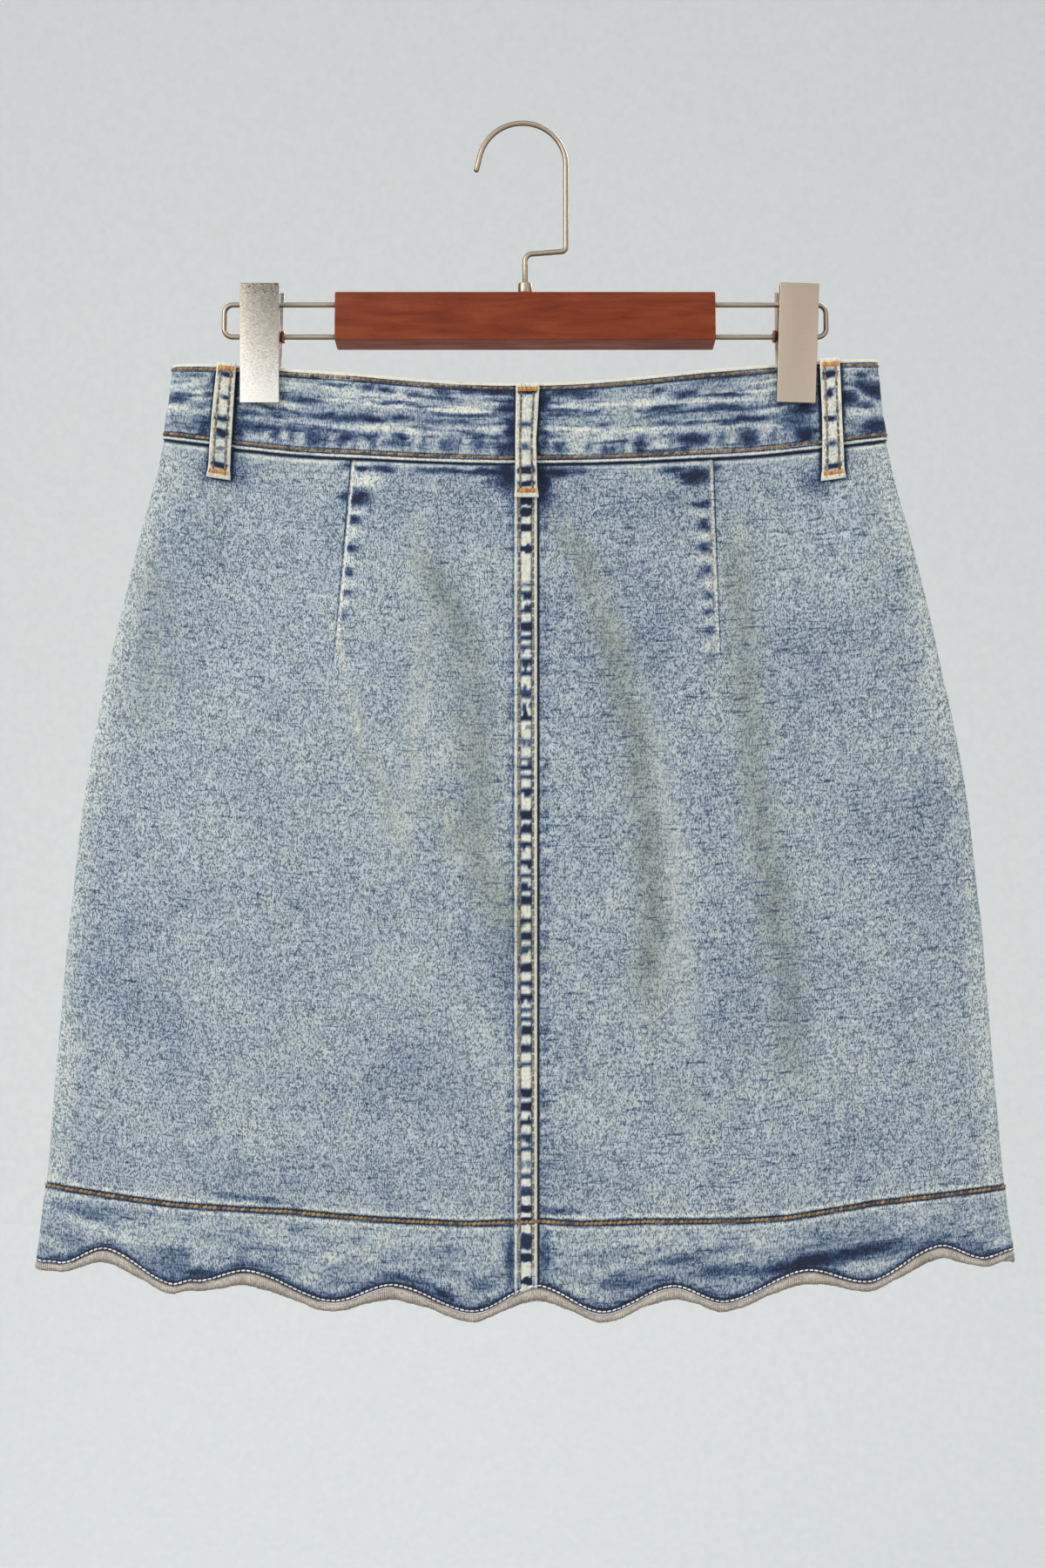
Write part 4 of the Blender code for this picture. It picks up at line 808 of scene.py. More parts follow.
def cloth_wall(node, face, across, drop, lift, thickness, wash):
    """A closed wall of denim over a grid, with rounded edges where it was folded or cut.

    The grid is given by arrays of one shape: the place across, the drop, the lift of the outer
    side and the thickness. The wall takes the place of the CAD node.
    """
    rows, columns = across.shape
    thickness = np.broadcast_to(thickness, across.shape)
    middle = cloth_point(face, across, drop, lift - thickness / 2)
    inside_edge = np.clip(edge_distance(middle) / (thickness / 2), 0.04, 1.0)
    narrowed = thickness / 2 * (1 - np.sqrt(1 - (1 - inside_edge) ** 2))
    outer = cloth_point(face, across, drop, lift - narrowed)
    inner = cloth_point(face, across, drop, lift - thickness + narrowed)
    count = rows * columns
    index = np.arange(count).reshape(rows, columns)
    rim = np.concatenate((index[0, :], index[1:, -1], index[-1, -2::-1], index[-2:0:-1, 0]))
    after = np.roll(rim, -1)
    border = np.stack((rim, rim + count, after + count, after), axis=-1)
    faces = np.concatenate((grid_faces(rows, columns), grid_faces(rows, columns, count)[:, ::-1], border))
    name = node + "_cloth"
    seed = CLOTH_SEEDS.setdefault(name, len(CLOTH_SEEDS) * 7.31 + 3.0)
    turned = np.clip(np.abs(across) - 1, 0.0, 1.0) * FOLD_RADIUS * np.pi / 2
    x = x_at(across, drop) + np.where(across < 0, -1, 1) * turned
    layout = np.stack((x, drop + 0.0 * x, np.full_like(x, seed)), axis=-1).reshape(-1, 3)
    values = {"cloth": np.concatenate((layout, layout)), "inside": np.repeat((0.0, 1.0), count)}
    for key, inner_share in INSIDE_SHARES.items():
        value = np.broadcast_to(getattr(wash, key), across.shape).ravel()
        values[key] = np.concatenate((value, inner_share * value))
    points = np.concatenate((outer.reshape(-1, 3), inner.reshape(-1, 3)))
    new_piece(name, mesh_from(name, points, faces, DENIM, values), [node])


def steps_to(marks, spacings):
    """Places from each mark to the next, about the given spacing apart."""
    places = [marks[0]]
    for start, end, spacing in zip(marks, marks[1:], spacings):
        count = max(1, round(abs(end - start) / spacing))
        places += [between(start, end, step / count) for step in range(1, count + 1)]
    return np.array(places)


EDGE_STEPS = (0.0, 0.12, 0.35, 0.7)  # how near an edge the first lines of a grid lie


# ---------------- panels
Quarter = namedtuple("Quarter", "name face side seam_x strip_x")
QUARTERS = (
    Quarter("back_panel_left", BACK, LEFT, 6.2, STRIP_EDGES[BACK]),
    Quarter("back_panel_right", BACK, RIGHT, 6.5, 20.0),
    Quarter("front_panel_left", FRONT, LEFT, 3.0, STRIP_EDGES[FRONT]),
    Quarter("front_panel_right", FRONT, RIGHT, 3.3, 16.0),
)
# The grid of a panel, in mm or in lines, finer on the back, which is seen from near.
DART_OFFSETS = np.array((6.0, 4.6, 3.4, 2.5, 1.8, 1.2, 0.8, 0.45, 0.2, 0.0))
FOLD_TURNS = np.array((0.14, 0.3, 0.45, 0.6, 0.75, 0.87, 0.94, 0.985, 1.0))  # shares of the side fold
PANEL_TOP = WAIST_DROP + SEAM_GAP / 2
PANEL_MARKS = (PANEL_TOP + 1.0, 62.0, 90.0, 404.0, 419.0, FACING_DROP)
PANEL_SPACINGS = {BACK: (0.8, 1.3, 2.3, 1.3, 0.75), FRONT: (1.6, 2.4, 3.2, 2.0, 1.2)}
STRIP_COLUMNS = {BACK: 24, FRONT: 12}
STRIP_TO_DART, DART_TO_SIDE, STRIP_TO_SIDE = 32, 58, 78  # columns
FACING_ROWS = {BACK: 38, FRONT: 24}
HEM_SHARES = (0.978, 0.989, 0.996, 1.0)  # of the facing's height, near the edge


def quarter_across(quarter, drop):
    """The places across of a quarter's columns, in rows of one drop each."""
    side, seam_x, strip_x = quarter.side, quarter.seam_x, quarter.strip_x
    drop = drop[:, None]
    flat = side * (section_at(drop[:, 0])[1][:, None] - FOLD_RADIUS)
    strip_width = abs(strip_x - seam_x)
    shares = EDGE_STEPS + tuple(np.linspace(1.2, strip_width, STRIP_COLUMNS[quarter.face]))
    blocks = [between(seam_x, strip_x, np.array(shares) / strip_width)[None, :] + 0 * drop]
    if quarter.face == BACK:
        line, offsets = dart_x(side, drop), side * DART_OFFSETS[None, :]
        inner = np.linspace(0, 1, STRIP_TO_DART)[None, 1:-1]
        blocks.append(between(strip_x, line - offsets[:, :1], inner))
        blocks += [line - offsets, line + offsets[:, -2::-1]]
        outer = np.linspace(0, 1, DART_TO_SIDE)[None, 1:]
        blocks.append(between(line + offsets[:, :1], flat, outer))
    else:
        blocks.append(between(strip_x, flat, np.linspace(0, 1, STRIP_TO_SIDE)[None, 1:]))
    across = np.concatenate(blocks, axis=1) / np.abs(flat)
    return np.concatenate((across, side * (1 + FOLD_TURNS)[None, :] + 0 * drop), axis=1)


def make_panel(quarter):
    """A panel from the waistband to its scallops, thicker over its seam and its hem facing."""
    face, side = quarter.face, quarter.side
    upper = steps_to(PANEL_MARKS, PANEL_SPACINGS[face])
    upper = np.concatenate((PANEL_TOP + np.array(EDGE_STEPS), upper))
    plain = quarter_across(quarter, upper)
    shares = np.concatenate((np.linspace(0, 1, FACING_ROWS[face])[1:-1], HEM_SHARES))
    edge = drop_along(hem_edge, face, quarter_across(quarter, np.full(shares.size, HEM_DROP)))
    low_drop = between(FACING_DROP, edge, shares[:, None])
    low_across = np.stack([
        quarter_across(quarter, low_drop[:, column])[:, column] for column in range(plain.shape[1])
    ], axis=1)
    across = np.concatenate((plain, low_across))
    drop = np.concatenate((np.broadcast_to(upper[:, None], plain.shape), low_drop))
    x = x_at(across, drop)
    strip = (x - quarter.strip_x) / STRIP_RAMP if side == LEFT else -1.0
    layered = np.maximum(smooth((drop - facing_row(face, x)) / 3.0), smooth(strip))
    thickness = between(CLOTH, LAYERED, layered)
    lift, wash = panel_lift(face, side, x, drop), panel_wash(face, side, x, drop)
    cloth_wall(quarter.name, face, across, drop, lift, thickness, wash)


# ---------------- waistband
BAND_MARKS = (1.0, 3.2, 34.0, 37.2, 38.0)
BAND_SPACINGS = {BACK: (0.35, 0.70, 0.35, 0.4), FRONT: (0.5, 1.0, 0.5, 0.4)}
BAND_STEPS = {BACK: 0.0062, FRONT: 0.0085}  # across, as a share of the half width
BAND_HALF_WIDTH = 180.0  # about, to turn the edge steps into places across
SIDE_STEP = 0.12  # round the fold at the side seam
SIDE_MARGIN = 30  # how many times wider the edge steps are there, where across runs faster
SIDE_SEAM = 2.0  # how far across the side seam is


def make_band(node, face, start=-SIDE_SEAM, end=SIDE_SEAM, overlaps=False):
    """One length of the waistband, from start to end across."""
    margin = np.array(EDGE_STEPS) / BAND_HALF_WIDTH
    first = start + margin * (SIDE_MARGIN if start == -SIDE_SEAM else 1)
    last = end - margin[::-1] * (SIDE_MARGIN if end == SIDE_SEAM else 1)
    marks = (first[-1], max(first[-1] + 0.001, -1.0), min(last[0] - 0.001, 1.0), last[0])
    middle = steps_to(marks, (SIDE_STEP, BAND_STEPS[face], SIDE_STEP))
    line = np.concatenate((first, middle[1:-1], last))
    low_edge = WAIST_DROP - SEAM_GAP / 2 - np.array(EDGE_STEPS[::-1])
    drops = np.concatenate((EDGE_STEPS, steps_to(BAND_MARKS, BAND_SPACINGS[face]), low_edge))
    across, drop = np.meshgrid(line, drops)
    x = x_at(across, drop)
    lift = band_lift(face, x, drop, overlaps)
    cloth_wall(node, face, across, drop, lift, WAISTBAND, band_wash(face, x, drop))


def make_bands():
    """The waistband: its back, and its front, which laps left over right."""
    make_band("waistband_back", BACK)
    make_band("waistband_front_left", FRONT, end=float(across_at(BAND_OVERLAP, 0.0)), overlaps=True)
    make_band("waistband_front_right", FRONT, start=float(across_at(BAND_UNDERLAP, 0.0)))


# ---------------- belt loops
LOOP_BOW = 1.7  # how far a loop's middle stands off its ends
LOOP_HALF_WIDTH = 5.4
LOOP_GAP = 0.6
LOOP_STITCH_INSET = 2.5
# Shares of a loop's length: its folded ends, its slope off the waistband, and its two bartacks.
LOOP_END = 0.055
LOOP_SLOPE = 0.12
LOOP_TACKS = (0.055, 0.94)
# Each loop's centre and half width at its top, middle and bottom.
Loop = namedtuple("Loop", "name face drops centres halves seed")
LOOPS = (
    Loop("belt_loop_center_back", BACK, (0.4, 56.6), (1.4, 0.3, 0.7), (6.1, 5.4, 5.7), 1),
    Loop("belt_loop_back_left", BACK, (-0.8, 55.2), (-155, -157.2, -159.3), (4.8, 5.3, 5.5), 2),
    Loop("belt_loop_back_right", BACK, (-0.8, 55.2), (158.2, 159.3, 160.2), (5.1, 5, 5.8), 3),
    Loop("belt_loop_front_left", FRONT, (0.4, 56.6), (-98, -98.4, -99), (5.4, 5.2, 5.4), 4),
    Loop("belt_loop_front_right", FRONT, (0.4, 56.6), (98, 98.5, 99), (5.4, 5.2, 5.4), 5),
)
LOOP_INDIGO = {
    "belt_loop_back_left": (
        (-154.6, 5.4, 4, 1, 0, 0.9), (-156.1, 16.9, 1.8, 0.9, 0, 0.8), (-157.2, 26.8, 2.1, 1.3, 0, 0.8),
        (-157.1, 32.7, 2.3, 1.5, 0, 0.8), (-158, 48.4, 4.3, 1.2, 0, 0.9), (-157.5, 40, 1.6, 1, 0, 0.5),
    ),
    "belt_loop_back_right": (
        (157, 7.2, 3.2, 1.8, 0, 0.9), (157.8, 15.7, 2.1, 1.5, 20, 0.8), (157.9, 27, 1.8, 0.9, 0, 0.8),
        (159.6, 48, 3.6, 1.2, 0, 0.8), (159, 37.5, 1.8, 1, 0, 0.5),
    ),
    "belt_loop_center_back": (
        (1.5, 4.6, 5.6, 1, 0, 0.9), (0.6, 42.9, 5.4, 1.7, 0, 0.95), (0.8, 49.6, 5.4, 1, 0, 0.85),
        (0.4, 20.5, 2, 1.2, 0, 0.6), (1, 31, 1.8, 1.4, 0, 0.6),
    ),
}


def loop_x(loop, row, side=0.0):
    """The loop's middle line, or a line at that share of its half width."""
    centre = np.interp(row, (0.0, 0.5, 1.0), loop.centres)
    flare = 0.6 * smooth((row - 0.88) / 0.12)  # the folded lower end spread in the wash
    return centre + side * (np.interp(row, (0.0, 0.5, 1.0), loop.halves) + flare)


def loop_lift(loop, row, across_loop):
    """How far a loop's outer face stands off the plain form, and how thick the loop is there."""
    length = loop.drops[1] - loop.drops[0]
    seam_row = (WAIST_DROP - loop.drops[0]) / length
    below = SEAM_LIFT if abs(loop.centres[2]) < 6 else 0.0
    under = between(WAISTBAND_LIFT, below, smooth((row - seam_row) / LOOP_SLOPE - 0.25))
    bow = LOOP_BOW * np.sin(np.pi * np.clip(row, 0, 1)) ** 0.8
    end = 1 - smooth((np.minimum(row, 1 - row) - LOOP_END) / 0.03)
    thickness = between(CLOTH, LAYERED, end)
    away = np.abs(across_loop) * LOOP_HALF_WIDTH - (LOOP_HALF_WIDTH - LOOP_STITCH_INSET)
    sewn = 0.26 * hump(away, 0.75) * (1 - end)
    rolled = 0.14 * ripple(row * length + 0.6 * across_loop, 7.3, loop.seed)
    tacked = sum(0.5 * hump(row - tack, 0.016) for tack in LOOP_TACKS)
    return under + LOOP_GAP + bow + thickness - sewn + rolled - tacked, thickness


def make_belt_loop(loop):
    """A loop folded in three, its raw edge hidden, worn pale along both folds."""
    inset = np.array(EDGE_STEPS[:3])
    sides = 1 - inset / LOOP_HALF_WIDTH
    sides = np.concatenate((-sides, np.linspace(-0.9, 0.9, 23), sides[::-1]))
    margin = inset / (loop.drops[1] - loop.drops[0])
    rows = np.concatenate((margin, np.linspace(0.016, 0.984, 74), 1 - margin[::-1]))
    side, row = np.meshgrid(sides, rows)
    drop = between(*loop.drops, row)
    x = loop_x(loop, row, side)
    lift, thickness = loop_lift(loop, row, side)
    from_edge = np.abs(side) * LOOP_HALF_WIDTH - LOOP_HALF_WIDTH
    sewn = 0.75 * hump(from_edge + LOOP_STITCH_INSET, 0.55) * (0.7 + 0.3 * ripple(drop, 3.7, 1))
    if loop.name in LOOP_INDIGO:
        blotches = np.minimum(1.45 * patches(LOOP_INDIGO[loop.name], x, drop), 1.0)
    else:
        blotches = 0.85 * smooth(mottle(x, drop, 6.0, loop.seed) * 1.7 - 0.5)
    ends = np.clip(hump(row, 0.04) + hump(row - 1.0, 0.045), 0.0, 1.0)
    indigo = strongest(sewn, blotches, 0.05) * (1 - 0.95 * np.maximum(hump(from_edge, 1.2), ends))
    uneven = 0.75 + 0.25 * mottle(x, drop * 1.6, 5.0, loop.seed + 40)
    worn = strongest(hump(from_edge, 1.35), uneven, ends)
    wash = Wash(indigo, worn * (1 - 0.9 * indigo), felted=0.6)
    cloth_wall(loop.name, loop.face, across_at(x, drop), drop, lift, thickness, wash)


# ---------------- scalloped edge
ROLL_HALF_THICKNESS = 1.25
ROLL_LIFT = FACING_LIFT - LAYERED / 2  # in line with the middle of the layered cloth
SATIN_RIDGE = 0.95  # the ridges of the satin stitch; the real ones are half as far apart
ROLL_SIDES = 14
ROLL_STEP = 0.31


def make_scalloped_edge(name, face):
    """The roll of satin stitch that binds the scallops, from side seam to side seam."""
    rough = np.linspace(-1.998, 1.998, 3001)
    edge = drop_along(hem_edge, face, rough)
    way = way_along(cloth_point(face, rough, edge))
    steps = np.arange(0.0, way[-1], ROLL_STEP)
    across, top = np.interp(steps, way, rough), np.interp(steps, way, edge)
    x = x_at(across, top)
    bottom = roll_edge(face, x) + 0.25 * ripple(steps, 17.0, face) + 0.12 * ripple(steps, 4.1, 2)
    half = (bottom - top - SEAM_GAP) / 2
    turn = np.linspace(0, 2 * np.pi, ROLL_SIDES, endpoint=False)[None, :]
    phase = (steps + 0.5 * ripple(steps, 23.0, 1))[:, None] / SATIN_RIDGE
    ridge = np.abs(np.sin(np.pi * (phase + 0.15 * np.cos(turn)))) ** 0.7
    grown = (1 + 0.05 * ripple(steps, 6.5, 5))[:, None] * (0.90 + 0.10 * ridge)
    centre = top + SEAM_GAP + half
    drop = centre[:, None] - np.cos(turn) * half[:, None] * (0.98 + 0.02 * ridge)
    over_seam = (0.5 * hump(x, 8.0))[:, None]
    lift = ROLL_LIFT + over_seam + np.sin(turn) * ROLL_HALF_THICKNESS * grown
    points = cloth_point(face, across[:, None] + 0 * turn, drop, lift)
    ends = cloth_point(face, across[[0, -1]], centre[[0, -1]], ROLL_LIFT)
    points = np.concatenate((points.reshape(-1, 3), ends))
    caps = pointed_caps(len(steps), ROLL_SIDES)
    # Painted shade: the roll's underside is drawn darker.
    tone_shift = 0.9 * smooth((0.5 - 0.5 * np.cos(turn) - 0.45) / 0.55)
    layout = np.stack((steps[:, None] + 0 * turn, turn * 1.6 + 0 * steps[:, None], 0 * drop), axis=-1)
    values = {
        "ridge": np.concatenate(((ridge - tone_shift).ravel(), (0.5, 0.5))),
        "cloth": np.concatenate((layout.reshape(-1, 3), np.zeros((2, 3)))),
    }
    quads = grid_faces(len(steps), ROLL_SIDES, round_columns=True)
    data = closed_mesh(name + "_satin", points, quads, SATIN_EDGE, values, caps)
    new_piece(name + "_satin", data, [name])


# ---------------- sewing thread
THREAD_SIDES = 7
STITCH_RINGS = np.array((0.0, 0.1, 0.3, 0.55, 0.8, 0.93, 1.0))
STITCH_SWELL = np.array((0.3, 0.78, 1.0, 1.04, 0.98, 0.75, 0.3))
Sewing = namedtuple("Sewing", "pitch length radius lean sink")
TOPSTITCH = Sewing(2.75, 2.65, 0.68, 6.0, 0.06)
SEAM_TOPSTITCH = Sewing(3.7, 3.1, 0.55, -5.0, 0.06)
LOOP_TOPSTITCH = Sewing(3.6, 3.0, 0.56, 4.0, 0.06)
FACING_TOPSTITCH = Sewing(2.45, 2.6, 0.80, 18.0, 0.04)
WHITE_STITCH = Sewing(2.6, 2.15, 0.42, 4.0, 0.06)
BARTACK = Sewing(0.66, 2.5, 0.42, 80.0, 0.0)
BAND_SEWN_TO, FACING_SEWN_TO, HEM_SEWN_TO = 1.97, 1.96, 1.9  # across, close to the side seam


class Thread:
    """Gathers the stitches that one piece of thread makes."""

    def __init__(self, seed):
        self.random = np.random.default_rng(seed)
        self.points, self.faces, self.values, self.count = [], [], [], 0

    def sew(self, face, across, drop, lift, sewing):
        """Sews along a line on the cloth, given by arrays of its points."""
        spots = cloth_point(face, across, drop, lift)
        outward = cloth_point(face, across, drop, lift + 1.0) - spots
        way = way_along(spots)
        count = int(way[-1] / sewing.pitch)
        if count < 1:
            return
        loose = self.random.normal(0.0, 0.05, (count, 2)) * min(1.0, sewing.pitch)
        centre = (np.arange(count) + 0.5) * way[-1] / count + loose[:, 0]
        lean = np.radians(sewing.lean + self.random.normal(0.0, 2.5, count))

        def at(place, table):
            return np.stack([np.interp(place, way, table[:, axis]) for axis in range(3)], axis=-1)

        normal = at(centre, outward)
        normal /= np.linalg.norm(normal, axis=1, keepdims=True)
        reach = sewing.length / 2 * np.abs(np.cos(lean))
        along = at(centre + reach + 0.05, spots) - at(centre - reach - 0.05, spots)
        along /= np.linalg.norm(along, axis=1, keepdims=True)
        sideways = np.cross(normal, along)
        heading = along * np.cos(lean)[:, None] + sideways * np.sin(lean)[:, None]
        sideways = np.cross(normal, heading)
        length = (sewing.length * self.random.normal(1.0, 0.045, count))[:, None, None]
        radius = (sewing.radius * self.random.normal(1.0, 0.06, count))[:, None, None]
        share = STITCH_RINGS[None, :, None]
        height = (np.sin(np.pi * share) ** 0.6 * 0.62 - 0.42) * radius
        core = at(centre, spots)[:, None, :] + heading[:, None, :] * (share - 0.5) * length
        core = core + normal[:, None, :] * (height + 0.35 * radius - sewing.sink)
        turn = np.linspace(0, 2 * np.pi, THREAD_SIDES, endpoint=False)
        ring = sideways[:, None, None, :] * np.cos(turn)[:, None]
        ring = ring + 0.82 * normal[:, None, None, :] * np.sin(turn)[:, None]
        swell = STITCH_SWELL[None, :, None] * radius
        points = core[:, :, None, :] + ring * swell[..., None]
        tint = self.random.uniform(0, 1, count)[:, None, None]
        ply = np.stack(np.broadcast_arrays(share * length, turn / (2 * np.pi), tint), axis=-1)
        rings, step = STITCH_RINGS.size, STITCH_RINGS.size * THREAD_SIDES
        one = grid_faces(rings, THREAD_SIDES, round_columns=True)
        self.points.append(points.reshape(-1, 3))
        self.faces.append(repeated(one, count, step, self.count))
        self.values.append(ply.reshape(-1, 3))
        self.count += count * step

    def make(self, name, material, slot):
        """Makes one piece of all the stitches, each closed at both ends."""
        rings, step = STITCH_RINGS.size, STITCH_RINGS.size * THREAD_SIDES
        caps = [repeated(cap, self.count // step, step) for cap in fan_caps(rings, THREAD_SIDES)]
        points, quads, ply, caps = map(np.concatenate, (self.points, self.faces, self.values, caps))
        new_piece(name, closed_mesh(name, points, quads, material, {"ply": ply}, caps))


def sew_waistband():
    """Two rows round the waistband, which stop at its lapped end, and a row down that end."""
    thread = Thread(11)
    for face, high in ((BACK, BAND_SEWN_TO), (FRONT, across_at(BAND_OVERLAP - 2, 0.0))):
        across = np.linspace(-BAND_SEWN_TO, high, 900)
        for row in BAND_ROW_DROPS:
            drop = np.full(across.size, row)
            x = x_at(across, drop)
            drop = drop + 0.15 * ripple(x, 37.0, row) + (0.3 if row < 9 else 0.0) * hump(x - 120, 60)
            thread.sew(face, across, drop, band_lift(face, x, drop, face == FRONT), TOPSTITCH)
    across = np.linspace(across_at(BAND_OVERLAP + 1.5, 0.0), BAND_SEWN_TO, 450)
    for row in BAND_ROW_DROPS:
        drop = np.full(across.size, row)
        thread.sew(FRONT, across, drop, band_lift(FRONT, x_at(across, drop), drop), TOPSTITCH)
    drop = np.linspace(4.2, 34.0, 60)
    x = np.full(drop.size, BAND_OVERLAP - 2.2)
    thread.sew(FRONT, across_at(x, drop), drop, band_lift(FRONT, x, drop, True), TOPSTITCH)
    thread.make("waistband_topstitching", GOLD_THREAD, "denim")


def sew_seams():
    """Two rows down the centre seam and down the fly's edge, and the J beside the fly."""
    thread = Thread(12)
    for face, rows in SEAM_ROWS.items():
        for index, place in enumerate(rows):
            drop = np.linspace(WAIST_DROP + 1.0, 452.0 - 4 * index, 700)
            x = place + 0.22 * ripple(drop, 43.0, index)
            lift = panel_lift(face, LEFT, x, drop)
            thread.sew(face, across_at(x, drop), drop, lift, SEAM_TOPSTITCH)
    for inset in (0.0, 5.0):
        x, drop = fly_path(inset)
        lift = panel_lift(FRONT, LEFT, x, drop)
        thread.sew(FRONT, across_at(x, drop), drop, lift, SEAM_TOPSTITCH)
    thread.make("seam_topstitching", BROWN_THREAD, "denim")


def whole_lift(face, x, drop):
    """The lift of one side of the skirt, over the seam between its two panels."""
    seam_x = QUARTERS[0 if face == BACK else 2].seam_x
    return np.where(x < seam_x, panel_lift(face, LEFT, x, drop), panel_lift(face, RIGHT, x, drop))


def sew_facing():
    """The row that holds the hem facing, its stitches leaning a little."""
    thread = Thread(13)
    for face in (BACK, FRONT):
        across = np.linspace(-FACING_SEWN_TO, FACING_SEWN_TO, 1200)
        drop = facing_row(face, x_at(across, FACING_DROP))
        lift = whole_lift(face, x_at(across, drop), drop)
        thread.sew(face, across, drop, lift, FACING_TOPSTITCH)
    thread.make("facing_topstitching", BROWN_THREAD, "denim")


def sew_hem():
    """White stitching along the scallops, just above the satin-stitched roll."""
    thread = Thread(14)
    for face in (BACK, FRONT):
        across = np.linspace(-HEM_SEWN_TO, HEM_SEWN_TO, 1600)
        drop = drop_along(hem_row, face, across)
        lift = whole_lift(face, x_at(across, drop), drop)
        thread.sew(face, across, drop, lift, WHITE_STITCH)
    thread.make("hem_stitching", WHITE_THREAD, "hem_stitching")


def sew_belt_loops():
    """A row along each side of every loop, and a bartack across each of its ends."""
    thread, bars = Thread(15), Thread(16)
    rows = np.linspace(LOOP_TACKS[0] + 0.02, LOOP_TACKS[1] - 0.02, 170)
    bar = np.linspace(-0.82, 0.82, 30)
    inset = 1 - LOOP_STITCH_INSET / LOOP_HALF_WIDTH
    for loop in LOOPS:
        for side in (-inset, inset):
            drop, x = between(*loop.drops, rows), loop_x(loop, rows, side)
            lift, _ = loop_lift(loop, rows, side)
            thread.sew(loop.face, across_at(x, drop), drop, lift, LOOP_TOPSTITCH)
        for row in LOOP_TACKS:
            drop, x = np.full(bar.size, between(*loop.drops, row)), loop_x(loop, row, bar)
            lift, _ = loop_lift(loop, row, bar)
            bars.sew(loop.face, across_at(x, drop), drop, lift + 0.15, BARTACK)
    thread.make("belt_loop_topstitching", BROWN_THREAD, "denim")
    bars.make("belt_loop_bartacks", BARTACK_THREAD, "denim")


FIBRE_SIDES = 3
FIBRE_RINGS = (0.0, 0.5, 1.0)  # shares of its length
FIBRES = {BACK: 900, FRONT: 520}
FRAYED = 26  # how many of the fibres at the back fray by its seam


def make_fuzz():
    """Short loose fibres along the satin edge, and a small fray at the centre back."""
    random = np.random.default_rng(21)
    turn = np.linspace(0, 2 * np.pi, FIBRE_SIDES, endpoint=False)
    step = len(FIBRE_RINGS) * FIBRE_SIDES
    points, total = [], sum(FIBRES.values())
    for face, count in FIBRES.items():
        across = random.uniform(-1.3, 1.3, count)
        fray = (np.arange(count) < FRAYED) & (face == BACK)
        across = np.where(fray, across_at(random.uniform(-7, 8, count), HEM_DROP), across)
        low = roll_edge(face, x_at(across, HEM_DROP)) - 0.5
        low = low - random.uniform(0, 4.2, count) * (random.uniform(0, 1, count) < 0.5)
        root = cloth_point(face, across, low, ROLL_LIFT + 0.75 * ROLL_HALF_THICKNESS)
        aim = random.normal(0, 1, (count, 3)) * (0.9, 0.25, 0.5) + (0.0, face * 0.45, -0.8)
        aim /= np.linalg.norm(aim, axis=1, keepdims=True)
        bend = random.normal(0, 0.45, (count, 3))
        length = np.where(fray, random.uniform(2.0, 4.5, count), random.uniform(0.5, 1.5, count))
        radius = np.where(fray, 0.09, 0.055)
        rings = []
        for share in FIBRE_RINGS:
            core = root + (aim * share + bend * share**2 * 0.5) * length[:, None]
            width = radius * (1 - 0.6 * share)
            rings += [
                core + np.stack((np.cos(a) * width, np.sin(a) * width, 0 * width), axis=-1) for a in turn
            ]
        points.append(np.stack(rings, axis=1).reshape(-1, 3))
    quads = repeated(grid_faces(len(FIBRE_RINGS), FIBRE_SIDES, round_columns=True), total, step)
    ends = [repeated(np.array([end]), total, step) for end in ((0, 2, 1), (6, 7, 8))]
    ply = np.tile((0.0, 0.0, 0.8), (total * step, 1))
    data = closed_mesh(
        "hem_loose_fibres", np.concatenate(points), quads, WHITE_THREAD, {"ply": ply}, np.concatenate(ends)
    )
    new_piece("hem_loose_fibres", data)


# ---------------- hanger
HANGER_TILT = math.radians(-6.0)
WIRE_RADIUS = 1.3
HOOK_WIRE_RADIUS = 1.35
HOOK_RADIUS = 22.9
HOOK_SHIFT = 1.4  # the arc was bent a little to the left of the stem
HOOK_TIP_ANGLE = math.radians(166.0)
HOOK_TIP_LENGTH = 9.0
HOOK_OFFSET = 21.4
HOOK_CORNER = 2.6
HOOK_BEND = 4.0
HOOK_STEM = 17.0
STEM_SINK = 1.5  # how deep the stem goes into its ferrule
HOOK_SLOPE = math.radians(4.0)
HOOK_FALL = 1.2
BAR_LENGTH, BAR_DEPTH, BAR_HEIGHT = 198.0, 18.0, 25.8
BAR_BEVEL = 0.7
BAR_CENTRE_Z = -106.2
RAIL_GAP = 17.3
RAIL_END = 158.8 - WIRE_RADIUS
RAIL_CORNER = 4.6
FERRULE_RADIUS, FERRULE_HEIGHT, FERRULE_WAIST = 3.6, 7.3, 0.5
CLIP_WIDTH = 20.4
CLIP_LEANS = (0.0, 1.75)
CLIP_PLAY = 0.6
EYELET_RADIUS, EYELET_LENGTH = 3.3, 1.8
EYELET_STEPS, EYELET_SIDES = 40, 24
EYELET_SQUARENESS = 0.6  # of the rolled section; 1 would be round
SPRING_WIRE = 0.55
SPRING_RADIUS = 3.6
SPRING_TURNS = 9
SPRING_STEPS = 16  # a turn
SPRING_HALF = 6.2
WIRE_ENDS = ((0.45, 0.35), (0.3, 0.78))  # how far past its end a ring lies, and its size, in radii
TILT = Matrix.Rotation(HANGER_TILT, 4, "X")


def arc(centre, radius, start, end, count):
    """Points of an arc in the XZ plane."""
    return [
        Vector((centre[0] + radius * math.cos(angle), 0.0, centre[1] + radius * math.sin(angle)))
        for angle in np.linspace(start, end, count)
    ]


